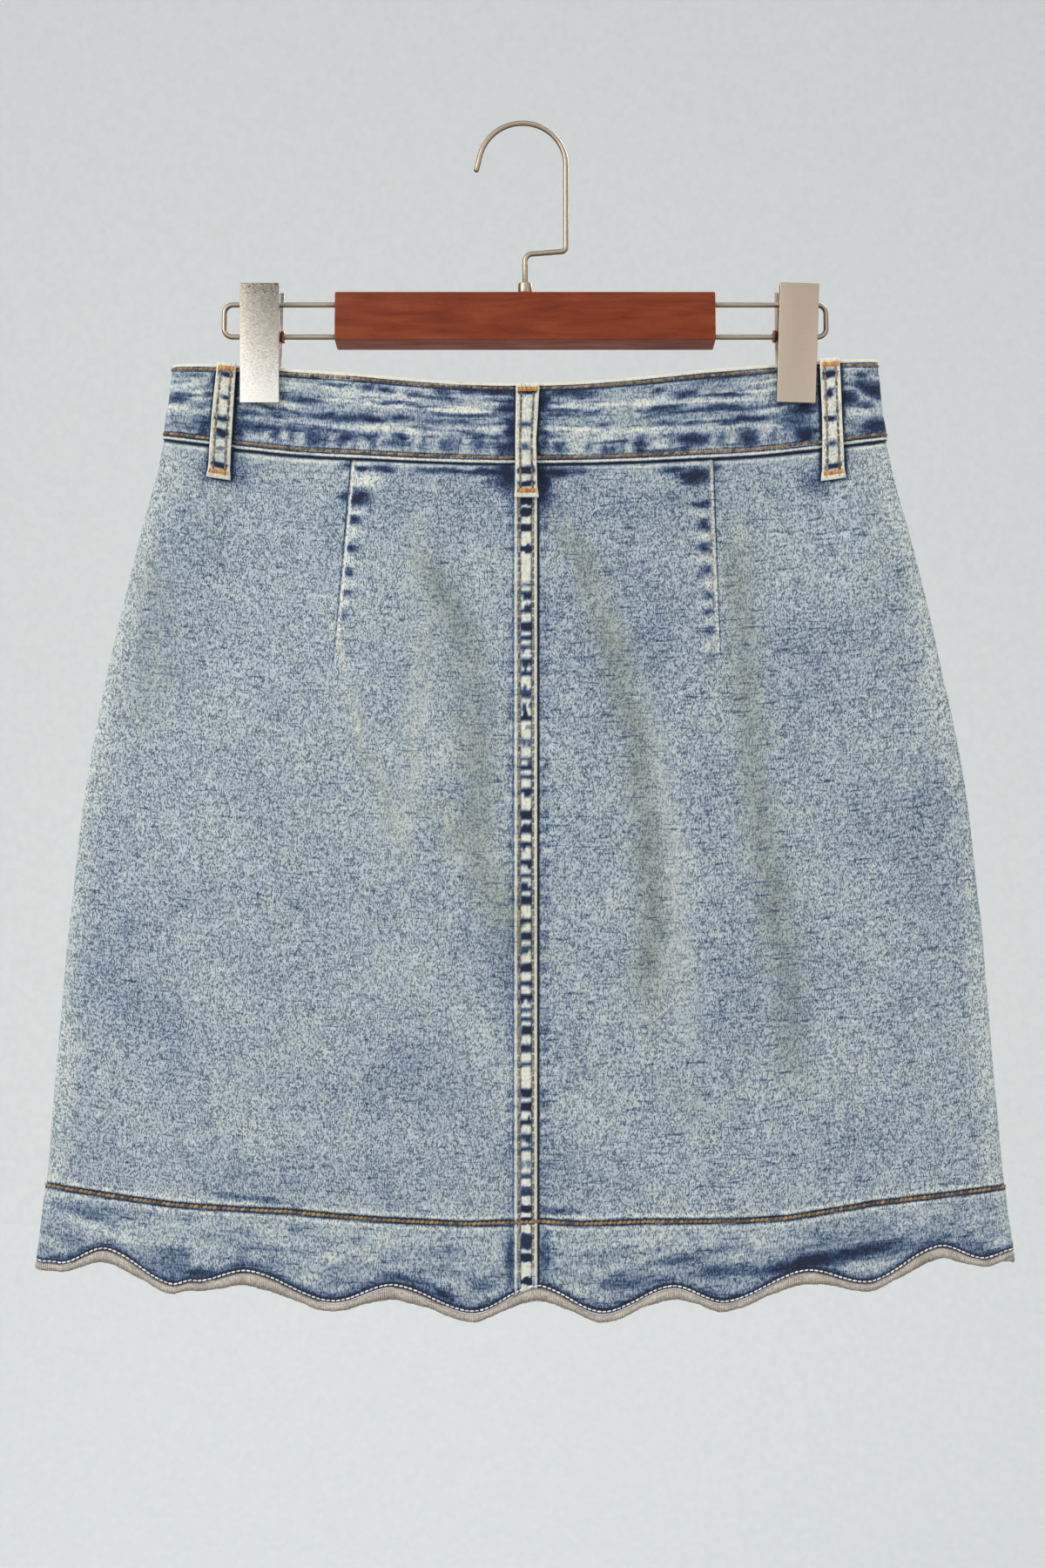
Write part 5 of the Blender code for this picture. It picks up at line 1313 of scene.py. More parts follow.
def make_wire(name, points, radius, place, nodes=(), sides=20):
    """A round wire along points in millimetres, with ends rounded off, in place of CAD nodes."""
    points = [Vector(point) for point in points]
    first, last = (points[0] - points[1]).normalized(), (points[-1] - points[-2]).normalized()
    spine = [(points[0] + first * radius * past, swell) for past, swell in WIRE_ENDS]
    spine += [(point, 1.0) for point in points]
    spine += [(points[-1] + last * radius * past, swell) for past, swell in WIRE_ENDS[::-1]]
    rings, across = [], None
    for index, (spot, swell) in enumerate(spine):
        before, after = spine[max(0, index - 1)][0], spine[min(len(spine) - 1, index + 1)][0]
        along = (after - before).normalized()
        if across is None:
            across = along.orthogonal().normalized()
        across = (across - along * across.dot(along)).normalized()
        up = along.cross(across)
        for side in range(sides):
            angle = 2 * math.pi * side / sides
            rings.append(spot + (across * math.cos(angle) + up * math.sin(angle)) * radius * swell)
    coords = np.array([tuple(place @ point) for point in rings])
    quads = grid_faces(len(spine), sides, round_columns=True)
    caps = np.concatenate(fan_caps(len(spine), sides))
    new_piece(name, closed_mesh(name, coords, quads, WIRE, triangles=caps), nodes)


def make_turned(name, profile, place, material, node, steps, sharp):
    """A solid turned about Z, from (radius, height) pairs from its top to its bottom."""
    angles = np.linspace(0, 2 * np.pi, steps, endpoint=False)
    rings = profile[1:-1]
    points = [(r * math.cos(a), r * math.sin(a), z) for r, z in rings for a in angles]
    points += [(0, 0, profile[0][1]), (0, 0, profile[-1][1])]
    coords = np.array([tuple(place @ Vector(point)) for point in points])
    quads = grid_faces(len(rings), steps, round_columns=True)
    data = closed_mesh(name, coords, quads, material, triangles=pointed_caps(len(rings), steps))
    data.set_sharp_from_angle(angle=math.radians(sharp))
    new_piece(name, data, [node])


def make_hook():
    """The hook: its arc from the tip, then the step under it, and the stem down into its ferrule."""
    top = (0.0, HOOK_WIRE_RADIUS - HOOK_RADIUS)
    stem_end = BAR_CENTRE_Z + BAR_HEIGHT / 2 + FERRULE_HEIGHT - STEM_SINK
    shelf_z = stem_end + STEM_SINK + SEAM_GAP + HOOK_STEM
    over = arc((-HOOK_SHIFT, top[1]), HOOK_RADIUS, HOOK_TIP_ANGLE, 0.0, 60)
    along = Vector((-math.sin(HOOK_TIP_ANGLE), 0.0, math.cos(HOOK_TIP_ANGLE)))
    points = [over[0] + along * HOOK_TIP_LENGTH, over[0] + along * HOOK_TIP_LENGTH / 2] + over
    points += arc((HOOK_OFFSET - HOOK_CORNER, shelf_z + HOOK_CORNER), HOOK_CORNER, 0.0, -math.pi / 2, 10)
    inner = (HOOK_BEND, shelf_z - HOOK_FALL - HOOK_BEND)
    points += arc(inner, HOOK_BEND, math.pi / 2 - HOOK_SLOPE, math.pi, 12)
    points.append(Vector((0.0, 0.0, stem_end)))
    make_wire("hook_wire", points, HOOK_WIRE_RADIUS, TILT, ["hanger_hook"])


def make_ferrule():
    """The turned collar that the hook's stem goes down into."""
    low, inner = BAR_CENTRE_Z + BAR_HEIGHT / 2 + SEAM_GAP / 2, FERRULE_RADIUS - FERRULE_WAIST
    height = FERRULE_HEIGHT - SEAM_GAP / 2
    profile = (
        (0.0, height - 0.1), (1.9, height - 0.1), (inner - 0.2, height), (inner + 0.3, height - 0.15),
        (FERRULE_RADIUS, height - 0.7), (FERRULE_RADIUS, 1.9), (FERRULE_RADIUS - 0.15, 1.5), (inner, 1.2),
        (inner, 0.15), (inner - 0.1, 0.0), (0.0, 0.0),
    )
    place = TILT @ Matrix.Translation((0, 0, low))
    make_turned("hook_collar", profile, place, WIRE, "hook_ferrule", steps=48, sharp=50)


def make_bar():
    """The wooden bar, planed square, its edges and ends eased with sandpaper."""
    work = bmesh.new()
    bmesh.ops.create_cube(work, size=1.0)
    bmesh.ops.scale(work, vec=Vector((BAR_LENGTH, BAR_DEPTH, BAR_HEIGHT)), verts=work.verts)
    bmesh.ops.bevel(work, geom=work.edges[:], offset=BAR_BEVEL, segments=6, profile=0.5, affect="EDGES")
    bmesh.ops.translate(work, vec=(0.0, 0.0, BAR_CENTRE_Z), verts=work.verts)
    bmesh.ops.transform(work, matrix=TILT, verts=work.verts)
    bmesh.ops.scale(work, vec=(MM, MM, MM), verts=work.verts)
    data = bpy.data.meshes.new("beech_bar")
    work.to_mesh(data)
    work.free()
    dressed(data, STAINED_BEECH)
    data.set_sharp_from_angle(angle=math.radians(30))
    new_piece("beech_bar", data, ["hanger_bar"])


def make_rail(name, side):
    """The long wire loop that stands out of one end of the bar and carries a clip."""
    start, half, inside = BAR_LENGTH / 2 - 3.0, RAIL_GAP / 2, RAIL_END - RAIL_CORNER
    points = [Vector((x, 0.0, half)) for x in np.linspace(start, inside, 8)[:-1]]
    points += arc((inside, half - RAIL_CORNER), RAIL_CORNER, math.pi / 2, 0.0, 12)
    points += arc((inside, RAIL_CORNER - half), RAIL_CORNER, 0.0, -math.pi / 2, 12)
    points += [Vector((x, 0.0, -half)) for x in np.linspace(start, inside, 8)[-2::-1]]
    placed = [Vector((side * point.x, point.y, point.z + BAR_CENTRE_Z)) for point in points]
    make_wire(name + "_wire", placed, WIRE_RADIUS, TILT, [name])


def softened_copy(name, node, material, width):
    """A CAD node's shape with its edges rounded, as pressed sheet or moulded rubber has them."""
    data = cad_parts[node].data.copy()
    data.name = name
    work = bmesh.new()
    work.from_mesh(data)
    bmesh.ops.remove_doubles(work, verts=work.verts, dist=0.00002)
    bmesh.ops.dissolve_limit(work, angle_limit=math.radians(2), verts=work.verts, edges=work.edges)
    edges = [edge for edge in work.edges if edge.is_manifold and edge.calc_face_angle(0.0) > 0.6]
    bmesh.ops.bevel(
        work, geom=edges, offset=width * MM, segments=3, profile=0.5, affect="EDGES", clamp_overlap=True
    )
    work.to_mesh(data)
    work.free()
    data.materials.clear()
    dressed(data, material)
    data.set_sharp_from_angle(angle=math.radians(35))
    new_piece(name, data, [node])


def clip_frame(spot, lean):
    """Where a clip turns on the lower wire: its place and lean."""
    rail_z = BAR_CENTRE_Z - RAIL_GAP / 2
    pivot_z = rail_z * math.cos(HANGER_TILT)
    pivot_y = -rail_z * math.sin(HANGER_TILT)
    turn = Matrix.Rotation(math.radians(lean), 4, "Y")
    return Matrix.Translation((spot, 0.0, pivot_z)) @ turn @ Matrix.Translation((0.0, pivot_y, 0.0))


def make_spring(name, place):
    """The coil between the jaws, round the wire, with a leg up each plate."""
    count = SPRING_TURNS * SPRING_STEPS
    coil = []
    for index in range(count + 1):
        angle = 2 * math.pi * index / SPRING_STEPS + math.pi
        x = between(-SPRING_HALF, SPRING_HALF, index / count)
        coil.append(Vector((x, SPRING_RADIUS * math.cos(angle), SPRING_RADIUS * math.sin(angle))))
    front_leg = [coil[0] + Vector((0.0, -0.5, 11.0)), coil[0] + Vector((0.0, 0.2, 3.0))]
    rear_leg = [coil[-1] + Vector((0.0, 5.6, 2.0)), coil[-1] + Vector((0.0, 10.6, 12.0))]
    make_wire(name, front_leg + coil + rear_leg, SPRING_WIRE, place, sides=8)


def make_eyelet(clip, spot, place):
    """The copper washer between a clip's jaws and the end of its wire, with rounded rims."""
    half, hole = EYELET_LENGTH / 2, WIRE_RADIUS + CLIP_PLAY
    centre = -math.copysign(1.0, spot) * (CLIP_WIDTH / 2 + SEAM_GAP + half)
    outline = []
    for index in range(EYELET_SIDES):
        angle = 2 * math.pi * index / EYELET_SIDES
        round_spot = (math.cos(angle), math.sin(angle))
        along, out = (math.copysign(abs(part) ** EYELET_SQUARENESS, part) for part in round_spot)
        outline.append((centre + half * along, between(hole, EYELET_RADIUS, (1 + out) / 2)))
    turns = [2 * math.pi * step / EYELET_STEPS for step in range(EYELET_STEPS)]
    points = [(x, r * math.cos(turn), r * math.sin(turn)) for turn in turns for x, r in outline]
    coords = np.array([tuple(place @ Vector(point)) for point in points])
    quads = grid_faces(EYELET_STEPS, EYELET_SIDES, round_columns=True, round_rows=True)
    name = f"clip_{clip}_copper_eyelet"
    new_piece(name, closed_mesh(name, coords, quads, COPPER), [f"clip_{clip}_eyelet"])


def make_clips():
    """The two clips: pressed plates, moulded pads, a spring and a copper washer each."""
    for clip, spot, lean in zip(("left", "right"), CLIP_SPOTS, CLIP_LEANS):
        place = clip_frame(spot, lean)
        for part in ("front_plate", "rear_plate"):
            node = f"clip_{clip}_{part}"
            softened_copy(node + "_pressed", node, NICKEL, 1.1)
        for part in ("front_pad", "rear_pad"):
            node = f"clip_{clip}_{part}"
            softened_copy(node + "_rubber", node, PAD_RUBBER, 0.4)
        make_spring(f"clip_{clip}_spring", place)
        make_eyelet(clip, spot, place)


# ---------------- button
def make_button():
    """The shank button, turned with a raised rim and a dished face."""
    lift = WAISTBAND_LIFT + float(overlap_lift(0.0)) + SEAM_GAP
    spot = cloth_point(FRONT, 0.0, 20.0, lift)
    profile = (
        (0.0, 3.75), (2.0, 3.8), (3.0, 4.05), (3.6, 4.1), (4.2, 3.85), (5.4, 3.8), (5.9, 4.15), (6.4, 4.55),
        (6.9, 4.65), (7.5, 4.55), (8.1, 4.2), (8.45, 3.75), (8.5, 3.4), (8.3, 2.95), (7.6, 2.5), (5.6, 2.1),
        (4.0, 2.0), (3.9, 0.0), (0.0, 0.0),
    )
    place = Matrix.Translation(Vector(spot)) @ Matrix.Rotation(-math.pi / 2, 4, "X")
    make_turned("shank_button", profile, place, NICKEL, "waist_button", steps=64, sharp=60)


# ---------------- materials
def colour(code):
    """A colour from its sRGB hex value, as linear red, green, blue and alpha."""
    parts = [int(code[start:start + 2], 16) / 255 for start in (0, 2, 4)]
    return [p / 12.92 if p <= 0.04045 else ((p + 0.055) / 1.055) ** 2.4 for p in parts] + [1.0]


def connect(node, inputs):
    """Sets a node's inputs, each to a value or to a link."""
    for socket, value in inputs.items():
        if isinstance(value, bpy.types.NodeSocket):
            node.id_data.links.new(value, node.inputs[socket])
        else:
            node.inputs[socket].default_value = value


def put(tree, kind, inputs=None, out=0, stops=(), **settings):
    """Adds a node with its inputs, its settings and the stops of its colours, and gives its output."""
    node = tree.nodes.new("ShaderNode" + kind)
    for key, value in settings.items():
        setattr(node, key, value)
    for index, (place, code) in enumerate(stops):
        element = node.color_ramp.elements[index] if index < 2 else node.color_ramp.elements.new(place)
        element.position, element.color = place, colour(code)
    connect(node, inputs or {})
    return node.outputs[out]


def finish(name, looks, shared, *colours):
    """A material with shared set all over, and the rest of its shader as looks makes it."""
    made = bpy.data.materials.new(name)
    made.use_nodes = True
    connect(made.node_tree.nodes["Principled BSDF"], shared | looks(partial(put, made.node_tree), *colours))
    return made


WARP_PITCH = 0.52  # mm; real warps are 0.4 mm apart, drawn a little coarser so that they show
FLOAT_REPEAT = 1.1  # mm from one warp float to the next, drawn coarse as well
TWILL_SHIFT = 0.52  # mm that the floats climb from each warp to the next, up to the right


def acid_washed_denim(add):
    """Right-hand twill, woven of ring-spun indigo warp and undyed weft, then acid washed.

    The eye sees single floats washed out to different blues, cream weft between them, and indigo
    kept along the seams.
    """
    place = add("Attribute", out="Vector", attribute_name="cloth")
    indigo, worn, inside, felted, yellowed = (
        add("Attribute", out="Fac", attribute_name=key)
        for key in ("indigo", "worn", "inside", "felted", "yellowed")
    )
    bend = add("TexNoise", {"Vector": place, "Scale": 0.09, "Detail": 1.0}, out="Color")
    bent = add("VectorMath", {0: bend, 1: (2.4, 2.4, 0.0), 2: place}, operation="MULTIPLY_ADD")
    across, down, seed = add("SeparateXYZ", {0: bent}, out=slice(3))
    warp = add("Math", {0: across, 1: WARP_PITCH}, operation="DIVIDE")
    column = add("Math", {0: warp}, operation="FLOOR")
    down = add("Math", {0: down, 1: FLOAT_REPEAT}, operation="DIVIDE")
    pick = add("Math", {0: column, 1: TWILL_SHIFT / FLOAT_REPEAT, 2: down}, operation="MULTIPLY_ADD")
    row = add("Math", {0: pick}, operation="FLOOR")
    cell = add("CombineXYZ", {0: column, 1: row, 2: seed})
    grain = add("TexWhiteNoise", {0: cell})
    # Most floats are pale and a few kept much more indigo.
    grain = add("Math", {0: grain, 1: 2.0}, operation="POWER")
    # How round a warp stands between its neighbours, and where it dives under the weft.
    yarn = add("Math", {0: warp, 1: 0.5}, operation="PINGPONG")
    yarn = add("MapRange", {0: yarn, 1: 0.0, 2: 0.34}, interpolation_type="SMOOTHSTEP")
    along = add("Math", {0: pick}, operation="FRACT")
    afloat = add("Math", {0: along, 1: 0.5}, operation="PINGPONG")
    afloat = add("MapRange", {0: afloat, 1: 0.04, 2: 0.17}, interpolation_type="SMOOTHSTEP")
    raised = add("Math", {0: yarn, 1: afloat}, operation="MULTIPLY")

    # Streaks down the warp, short dashes, and dashes pulled out along the weft: sizes in mm.
    streak, drawn, dash = (
        add("TexNoise", {"Vector": stretched, "Scale": 1.0, "Detail": detail})
        for stretched, detail in (
            (add("VectorMath", {0: place, 1: (1 / wide, 1 / high, 1.0)}, operation="MULTIPLY"), detail)
            for wide, high, detail in ((0.8, 4.5, 1.0), (2.3, 0.95, 2.0), (9.5, 1.1, 2.0))
        )
    )
    dash = add("MapRange", {0: dash, 1: 0.56, 2: 0.76})
    speck = add("TexNoise", {"Vector": place, "Scale": 0.16, "Detail": 3.0})
    cloud = add("TexNoise", {"Vector": place, "Scale": 0.024, "Detail": 2.0})

    # How much indigo a float has kept, from 0, washed out to cream, to 1, unwashed. Where sewing
    # held the cloth, the wash felted its floats together and they differ less.
    loose = add("MapRange", {0: felted, 3: 1.0, 4: 0.3})
    fine = -0.36
    for share, amount in ((grain, 0.34), (streak, 0.10), (drawn, 0.40)):
        fine = add("Math", {0: share, 1: amount, 2: fine}, operation="MULTIPLY_ADD")
    tone = add("Math", {0: fine, 1: loose, 2: 0.25}, operation="MULTIPLY_ADD")
    for share, amount in (
        (speck, 0.16), (cloud, 0.20), (dash, 0.30), (indigo, 0.74), (worn, -0.50), (inside, -0.16),
    ):
        tone = add("Math", {0: share, 1: amount, 2: tone}, operation="MULTIPLY_ADD")
    shade = add("ValToRGB", {0: tone}, stops=(
        (0.0, "e4dfca"), (0.18, "c9cec7"), (0.38, "a1adb3"), (0.56, "738294"), (0.74, "38506f"),
        (0.9, "142b50"), (1.0, "05122e"),
    ))
    # Floats differ from their neighbours, more so where the wash left some blue.
    beyond = add("Math", {0: tone, 1: 0.42}, operation="SUBTRACT")
    beyond = add("Math", {0: beyond}, operation="ABSOLUTE")
    spread = add("MapRange", {0: beyond, 1: 0.0, 2: 0.5, 3: 0.44, 4: 0.2})
    spread = add("Math", {0: spread, 1: loose}, operation="MULTIPLY")
    centred = add("Math", {0: grain, 1: -1.95, 2: 0.65}, operation="MULTIPLY_ADD")
    uneven = add("Math", {0: centred, 1: spread, 2: 1.0}, operation="MULTIPLY_ADD")
    lined = add("MapRange", {0: afloat, 3: 0.82, 4: 1.08})
    uneven = add("Math", {0: uneven, 1: lined}, operation="MULTIPLY")
    lit = add("VectorMath", {0: shade, "Scale": uneven}, operation="SCALE")
    # A warm tint multiplied in along the fold troughs: painted shade.
    with_fold_shade = {0: yellowed, 6: lit, 7: colour("f4eecb")}
    with_fold_shade = add("Mix", with_fold_shade, out=2, data_type="RGBA", blend_type="MULTIPLY")
    relief = add("Bump", {"Height": raised, "Strength": 0.8, "Distance": 0.00022})
    return {"Base Color": with_fold_shade, "Normal": relief}


def spun_thread(add, deep, middle, light):
    """Two-ply spun sewing thread: the plies show as slanting lines, and no two stitches match."""
    ply = add("Attribute", out="Vector", attribute_name="ply")
    along, round_it, tint = add("SeparateXYZ", {0: ply}, out=slice(3))
    way = add("Math", {0: along, 1: 1.25, 2: round_it}, operation="MULTIPLY_ADD")
    twist = add("Math", {0: way, 1: 0.5}, operation="PINGPONG")
    # Unevenly soiled, at random.
    tone_shift = add("TexNoise", {"Vector": ply, "Scale": 2.2, "Detail": 1.0})
    tone = add("Math", {0: tint, 1: 0.42}, operation="MULTIPLY")
    for share, amount in ((twist, 0.55), (tone_shift, 0.4)):
        tone = add("Math", {0: share, 1: amount, 2: tone}, operation="MULTIPLY_ADD")
    shade = add("ValToRGB", {0: tone}, stops=((0.18, deep), (0.5, middle), (0.85, light)))
    relief = add("Bump", {"Height": twist, "Strength": 0.6, "Distance": 0.0002})
    return {"Base Color": shade, "Normal": relief}


def satin_stitched_edge(add):
    """Undyed cotton, satin-stitched over a cord: fine ridges across the edge, darker between them,
    and painted shade on the roll's underside.
    """
    # The ridge attribute holds the satin ridges, less the painted shade on the roll's underside.
    ridge = add("Attribute", out="Fac", attribute_name="ridge")
    place = add("Attribute", out="Vector", attribute_name="cloth")
    uneven = add("TexNoise", {"Vector": place, "Scale": 0.9, "Detail": 2.0})
    blot = add("TexNoise", {"Vector": place, "Scale": 0.11, "Detail": 2.0})
    tone = add("Math", {0: ridge, 1: 0.42}, operation="MULTIPLY")
    for share, amount in ((uneven, 0.7), (blot, 0.4)):
        tone = add("Math", {0: share, 1: amount, 2: tone}, operation="MULTIPLY_ADD")
    shade = add("ValToRGB", {0: tone}, stops=(
        (0.35, "554c45"), (0.6, "7f756b"), (0.85, "a59a8f"), (1.0, "c8beb3"),
    ))
    relief = add("Bump", {"Height": uneven, "Strength": 0.5, "Distance": 0.0003})
    return {"Base Color": shade, "Normal": relief}


def brushed_nickel(add):
    """Nickel-plated steel, brushed: satin, with a painted highlight low down, painted shade on its
    sides and edges, and the right-hand clip painted darker and browner.
    """
    place, whole, way_out = (add("TexCoord", out=key) for key in ("Object", "Generated", "Normal"))
    brushed = add("VectorMath", {0: place, 1: (900.0, 900.0, 2200.0)}, operation="MULTIPLY")
    lines = add("TexNoise", {"Vector": brushed, "Scale": 1.0, "Detail": 2.0})
    spots = add("TexNoise", {"Vector": place, "Scale": 1500.0, "Detail": 2.0})
    height = add("SeparateXYZ", {0: whole}, out=2)
    # Painted highlight: the plate is drawn brightest low down and darker towards its top.
    tone = add("MapRange", {0: height, 3: 0.12, 4: -0.31})
    for share, amount in ((spots, 0.25), (lines, 0.3)):
        tone = add("Math", {0: share, 1: amount, 2: tone}, operation="MULTIPLY_ADD")
    # Painted shade: the folded sides and edges, which turn away from the front, are drawn darker than the
    # flat.
    flat = add("SeparateXYZ", {0: way_out}, out=1)
    flat = add("Math", {0: flat}, operation="ABSOLUTE")
    folded = add("MapRange", {0: flat, 1: 0.45, 2: 0.95, 3: -0.5, 4: 0.1})
    # Painted shade: the right-hand clip is drawn more even, darker and browner.
    right = add("SeparateXYZ", {0: place})
    right_clip_shade = add("MapRange", {0: right, 1: 0.05, 2: 0.1, 3: 0.0, 4: 0.85})
    tone = add("Mix", {0: right_clip_shade, 2: tone, 3: 0.26})
    tone = add("Math", {0: tone, 1: folded}, operation="ADD")
    shade = add("ValToRGB", {0: tone}, stops=(
        (0.0, "50473f"), (0.06, "91897e"), (0.26, "c9c1b4"), (0.46, "fcf8f0"),
    ))
    right_clip_shaded = {0: right_clip_shade, 6: shade, 7: colour("d9cbb9")}
    shade = add("Mix", right_clip_shaded, out=2, data_type="RGBA", blend_type="MULTIPLY")
    dull = add("MapRange", {0: tone, 1: 0.1, 2: 0.5, 3: 0.4, 4: 0.55})
    relief = add("Bump", {"Height": lines, "Strength": 0.12, "Distance": 0.0001})
    return {"Base Color": shade, "Roughness": dull, "Normal": relief}


def drawn_wire(add):
    """Nickel-plated spring wire: drawn smooth, greyer and shinier than the pressed plates, with
    painted shade on its rims and underside.
    """
    spots = {"Vector": add("TexCoord", out="Object"), "Scale": 700.0, "Detail": 3.0}
    spots = add("TexNoise", spots)
    # Painted shade: the wire is drawn darker towards its rims, where it turns away from the view.
    edge_on = add("LayerWeight", {0: 0.5}, out="Facing")
    tone = add("Math", {0: spots, 1: -0.12, 2: edge_on}, operation="MULTIPLY_ADD")
    # Painted shade: its underside is drawn darker and browner.
    upward = add("SeparateXYZ", {0: add("TexCoord", out="Normal")}, out=2)
    under = add("MapRange", {0: upward, 1: -0.8, 2: 0.3, 3: 0.4, 4: 0.0})
    tone = add("Math", {0: tone, 1: under}, operation="ADD")
    shade = add("ValToRGB", {0: tone}, stops=(
        (0.0, "c6b9a7"), (0.18, "a99b88"), (0.45, "7a6344"), (0.8, "402f1f"),
    ))
    dull = add("MapRange", {0: spots, 1: 0.3, 2: 0.7, 3: 0.46, 4: 0.38})
    relief = add("Bump", {"Height": spots, "Strength": 0.1, "Distance": 0.0001})
    return {"Base Color": shade, "Roughness": dull, "Normal": relief}


def rubbed_copper(add):
    """Copper, pressed and rubbed by the wire: pinkish brown, brighter where it was rubbed."""
    spots = {"Vector": add("TexCoord", out="Object"), "Scale": 600.0, "Detail": 3.0}
    spots = add("TexNoise", spots)
    # Its copper is drawn dull and dark: painted shade, as the washer sits in shadow.
    shade = add("ValToRGB", {0: spots}, stops=((0.35, "5a3a2b"), (0.55, "86573f"), (0.7, "b07a5c")))
    dull = add("MapRange", {0: spots, 1: 0.3, 2: 0.7, 3: 0.55, 4: 0.3})
    relief = add("Bump", {"Height": spots, "Strength": 0.15, "Distance": 0.0001})
    return {"Base Color": shade, "Roughness": dull, "Normal": relief}


def stained_beech(add):
    """Beech, planed, stained red-brown and varnished: long soft grain, short dark flecks, a thin gloss."""
    place = add("TexCoord", out="Object")
    long = add("VectorMath", {0: place, 1: (30.0, 190.0, 190.0)}, operation="MULTIPLY")
    grain = add("TexNoise", {"Vector": long, "Scale": 1.0, "Detail": 4.0, "Distortion": 0.6})
    short = add("VectorMath", {0: place, 1: (420.0, 2000.0, 2000.0)}, operation="MULTIPLY")
    fleck = add("TexNoise", {"Vector": short, "Scale": 1.0, "Detail": 1.0})
    fleck = add("MapRange", {0: fleck, 1: 0.6, 2: 0.72})
    tone = add("Math", {0: fleck, 1: -0.12, 2: grain}, operation="MULTIPLY_ADD")
    shade = add("ValToRGB", {0: tone}, stops=(
        (0.2, "5a220d"), (0.42, "712e16"), (0.6, "7c381d"), (0.85, "8b462b"),
    ))
    dull = add("MapRange", {0: tone, 1: 0.3, 2: 0.7, 3: 0.6, 4: 0.42})
    relief = add("Bump", {"Height": tone, "Strength": 0.25, "Distance": 0.0002})
    return {"Base Color": shade, "Roughness": dull, "Normal": relief}


def pad_rubber(add):
    """Moulded rubber, ribbed to hold cloth: nearly black, dusty on its ribs."""
    place = add("TexCoord", out="Object")
    ribs = add("TexWave", {"Vector": place, "Scale": 180.0}, bands_direction="Z")
    dust = add("TexNoise", {"Vector": place, "Scale": 700.0, "Detail": 3.0})
    shade = add("ValToRGB", {0: dust}, stops=((0.4, "1c1a1a"), (0.7, "3a3736")))
    dull = add("MapRange", {0: dust, 1: 0.3, 2: 0.7, 3: 0.7, 4: 0.9})
    relief = add("Bump", {"Height": ribs, "Strength": 0.6, "Distance": 0.0004})
    return {"Base Color": shade, "Roughness": dull, "Normal": relief}


def pale_paint(add):
    """Matt wall paint on a smooth sweep, with the faint stipple of a roller."""
    stipple = {"Vector": add("TexCoord", out="Object"), "Scale": 90.0, "Detail": 2.0}
    stipple = add("TexNoise", stipple)
    shade = add("ValToRGB", {0: stipple}, stops=((0.3, "d3d6d5"), (0.7, "d8dad9")))
    return {"Base Color": shade}


COTTON = {"Roughness": 0.62, "Sheen Weight": 0.2, "Sheen Roughness": 0.4}
METAL = {"Metallic": 1.0}
DENIM = finish(
    "acid washed denim", acid_washed_denim, {"Roughness": 0.92, "Sheen Weight": 0.12, "Sheen Roughness": 0.5}
)
GOLD_THREAD = finish("gold topstitch thread", spun_thread, COTTON, "281a0e", "6c5027", "ba935a")
BROWN_THREAD = finish("brown facing thread", spun_thread, COTTON, "231a12", "69522f", "b4935f")
BARTACK_THREAD = finish("orange bartack thread", spun_thread, COTTON, "6e4212", "bb782a", "e2a650")
WHITE_THREAD = finish("white cotton thread", spun_thread, COTTON, "8f959c", "dcdcd8", "f6f4ee")
SATIN_EDGE = finish(
    "satin stitched cotton edge", satin_stitched_edge, {"Roughness": 0.8, "Sheen Weight": 0.2}
)
NICKEL = finish("brushed nickel plate", brushed_nickel, METAL)
WIRE = finish("nickel plated wire", drawn_wire, METAL)
COPPER = finish("rubbed copper", rubbed_copper, METAL)
STAINED_BEECH = finish("stained beech", stained_beech, {"IOR": 1.5, "Specular IOR Level": 0.18})
PAD_RUBBER = finish("ribbed pad rubber", pad_rubber, {"IOR": 1.5})
PAINT = finish("matt pale paint", pale_paint, {"Roughness": 0.95})

for each in QUARTERS:
    make_panel(each)
make_bands()
for each in LOOPS:
    make_belt_loop(each)
make_scalloped_edge("scalloped_edge_back", BACK)
make_scalloped_edge("scalloped_edge_front", FRONT)
sew_waistband()
sew_seams()
sew_facing()
sew_hem()
sew_belt_loops()
make_fuzz()
make_button()
make_hook()
make_ferrule()
make_bar()
make_rail("clip_rail_left", LEFT)
make_rail("clip_rail_right", RIGHT)
make_clips()

# ---------------- the record of a cloth sheet
Sheet = namedtuple("Sheet", "piece width length area rests_on")


# ---------------- floor, backdrop and light
FLOOR_Z = -1.6
SWEEP_Y = 2.35
SWEEP_RADIUS = 0.7
SWEEP_HALF_WIDTH = 4.0
SWEEP_TOP = 2.2


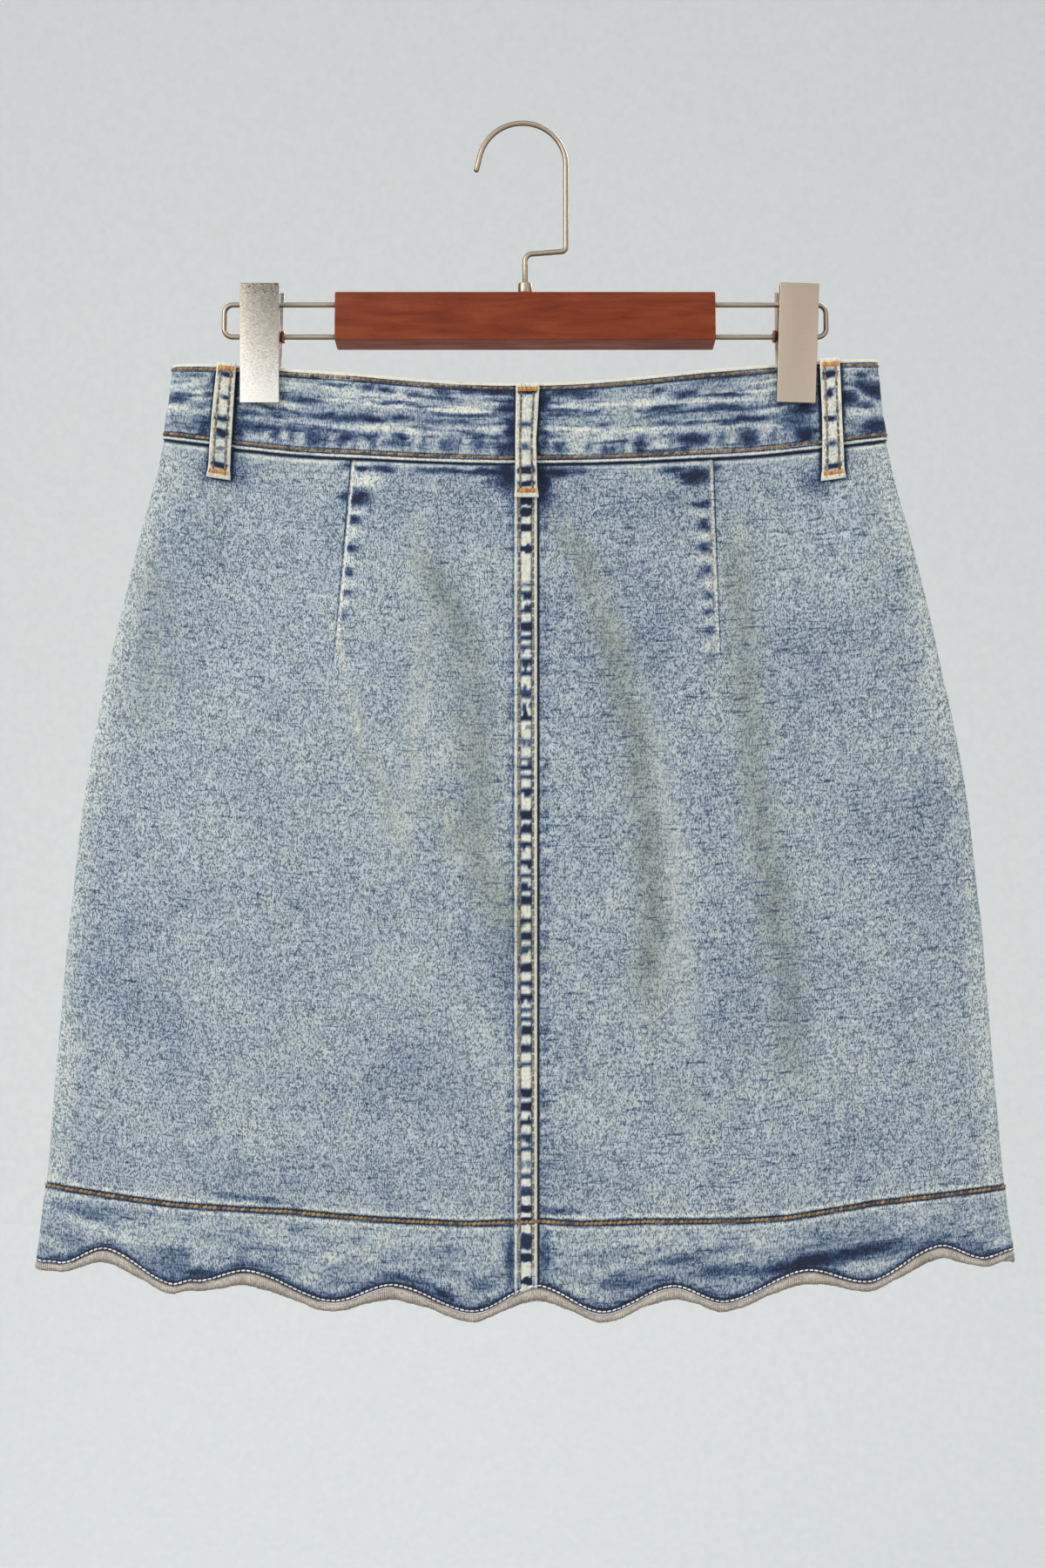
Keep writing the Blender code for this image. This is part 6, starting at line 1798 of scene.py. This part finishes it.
def make_sweep():
    """A pale floor that turns up into a wall well behind the skirt, with no corner."""
    profile = [(-4.5, FLOOR_Z)] + [(y, FLOOR_Z) for y in np.linspace(-3.0, SWEEP_Y - SWEEP_RADIUS, 12)]
    turn = np.linspace(0, math.pi / 2, 16)[1:]
    profile += [
        (SWEEP_Y - SWEEP_RADIUS + SWEEP_RADIUS * math.sin(a), FLOOR_Z + SWEEP_RADIUS * (1 - math.cos(a)))
        for a in turn
    ]
    profile += [(SWEEP_Y, z) for z in np.linspace(FLOOR_Z + SWEEP_RADIUS, SWEEP_TOP, 12)[1:]]
    wide = np.linspace(-SWEEP_HALF_WIDTH, SWEEP_HALF_WIDTH, 9)
    points = [(x, y, z) for y, z in profile for x in wide]
    data = bpy.data.meshes.new("pale sweep")
    faces = grid_faces(len(profile), len(wide))
    data.from_pydata(points, [], faces.tolist())
    made = bpy.data.objects.new("pale_sweep", dressed(data, PAINT))
    bpy.context.scene.collection.objects.link(made)


def add_light(name, spot, aim, size, power, warmth=(1.0, 1.0, 1.0)):
    """A soft rectangular light at spot, turned towards aim."""
    light = bpy.data.lights.new(name, "AREA")
    light.shape = "RECTANGLE"
    light.size, light.size_y = size
    light.energy = power
    light.color = warmth
    made = bpy.data.objects.new(name, light)
    made.location = spot
    made.rotation_euler = (Vector(aim) - Vector(spot)).to_track_quat("-Z", "Y").to_euler()
    bpy.context.scene.collection.objects.link(made)


def light_the_room():
    """A pale room, lighter overhead than underfoot, with a large window high on the left."""
    world = bpy.data.worlds.new("pale room")
    bpy.context.scene.world = world
    world.use_nodes = True
    tree = world.node_tree
    sky = tree.nodes["Background"]
    sky.inputs[0].default_value = (0.95, 0.97, 1.0, 1.0)
    height = put(tree, "SeparateXYZ", {0: put(tree, "TexCoord", out="Generated")}, out=2)
    connect(sky, {1: put(tree, "MapRange", {0: height, 1: -1.0, 2: 1.0, 3: 0.2, 4: 0.97})})
    middle = (0.0, 0.0, -0.38)
    add_light("window", (-1.7, -1.35, 0.85), middle, (1.2, 1.2), 38.0, (1.0, 0.985, 0.955))
    add_light("fill", (2.0, -1.6, -0.2), middle, (1.8, 1.8), 10.5, (1.0, 0.95, 0.88))
    add_light("wall wash", (0.0, 0.7, -1.3), (0.0, SWEEP_Y, -0.6), (3.0, 0.8), 6.0)
    add_light("rear window", (1.0, 1.7, 1.0), middle, (1.2, 1.2), 26.0)
    bpy.data.lights["rear window"].spread = math.radians(100)
    bpy.context.scene.view_settings.view_transform = "Standard"


make_sweep()
light_the_room()
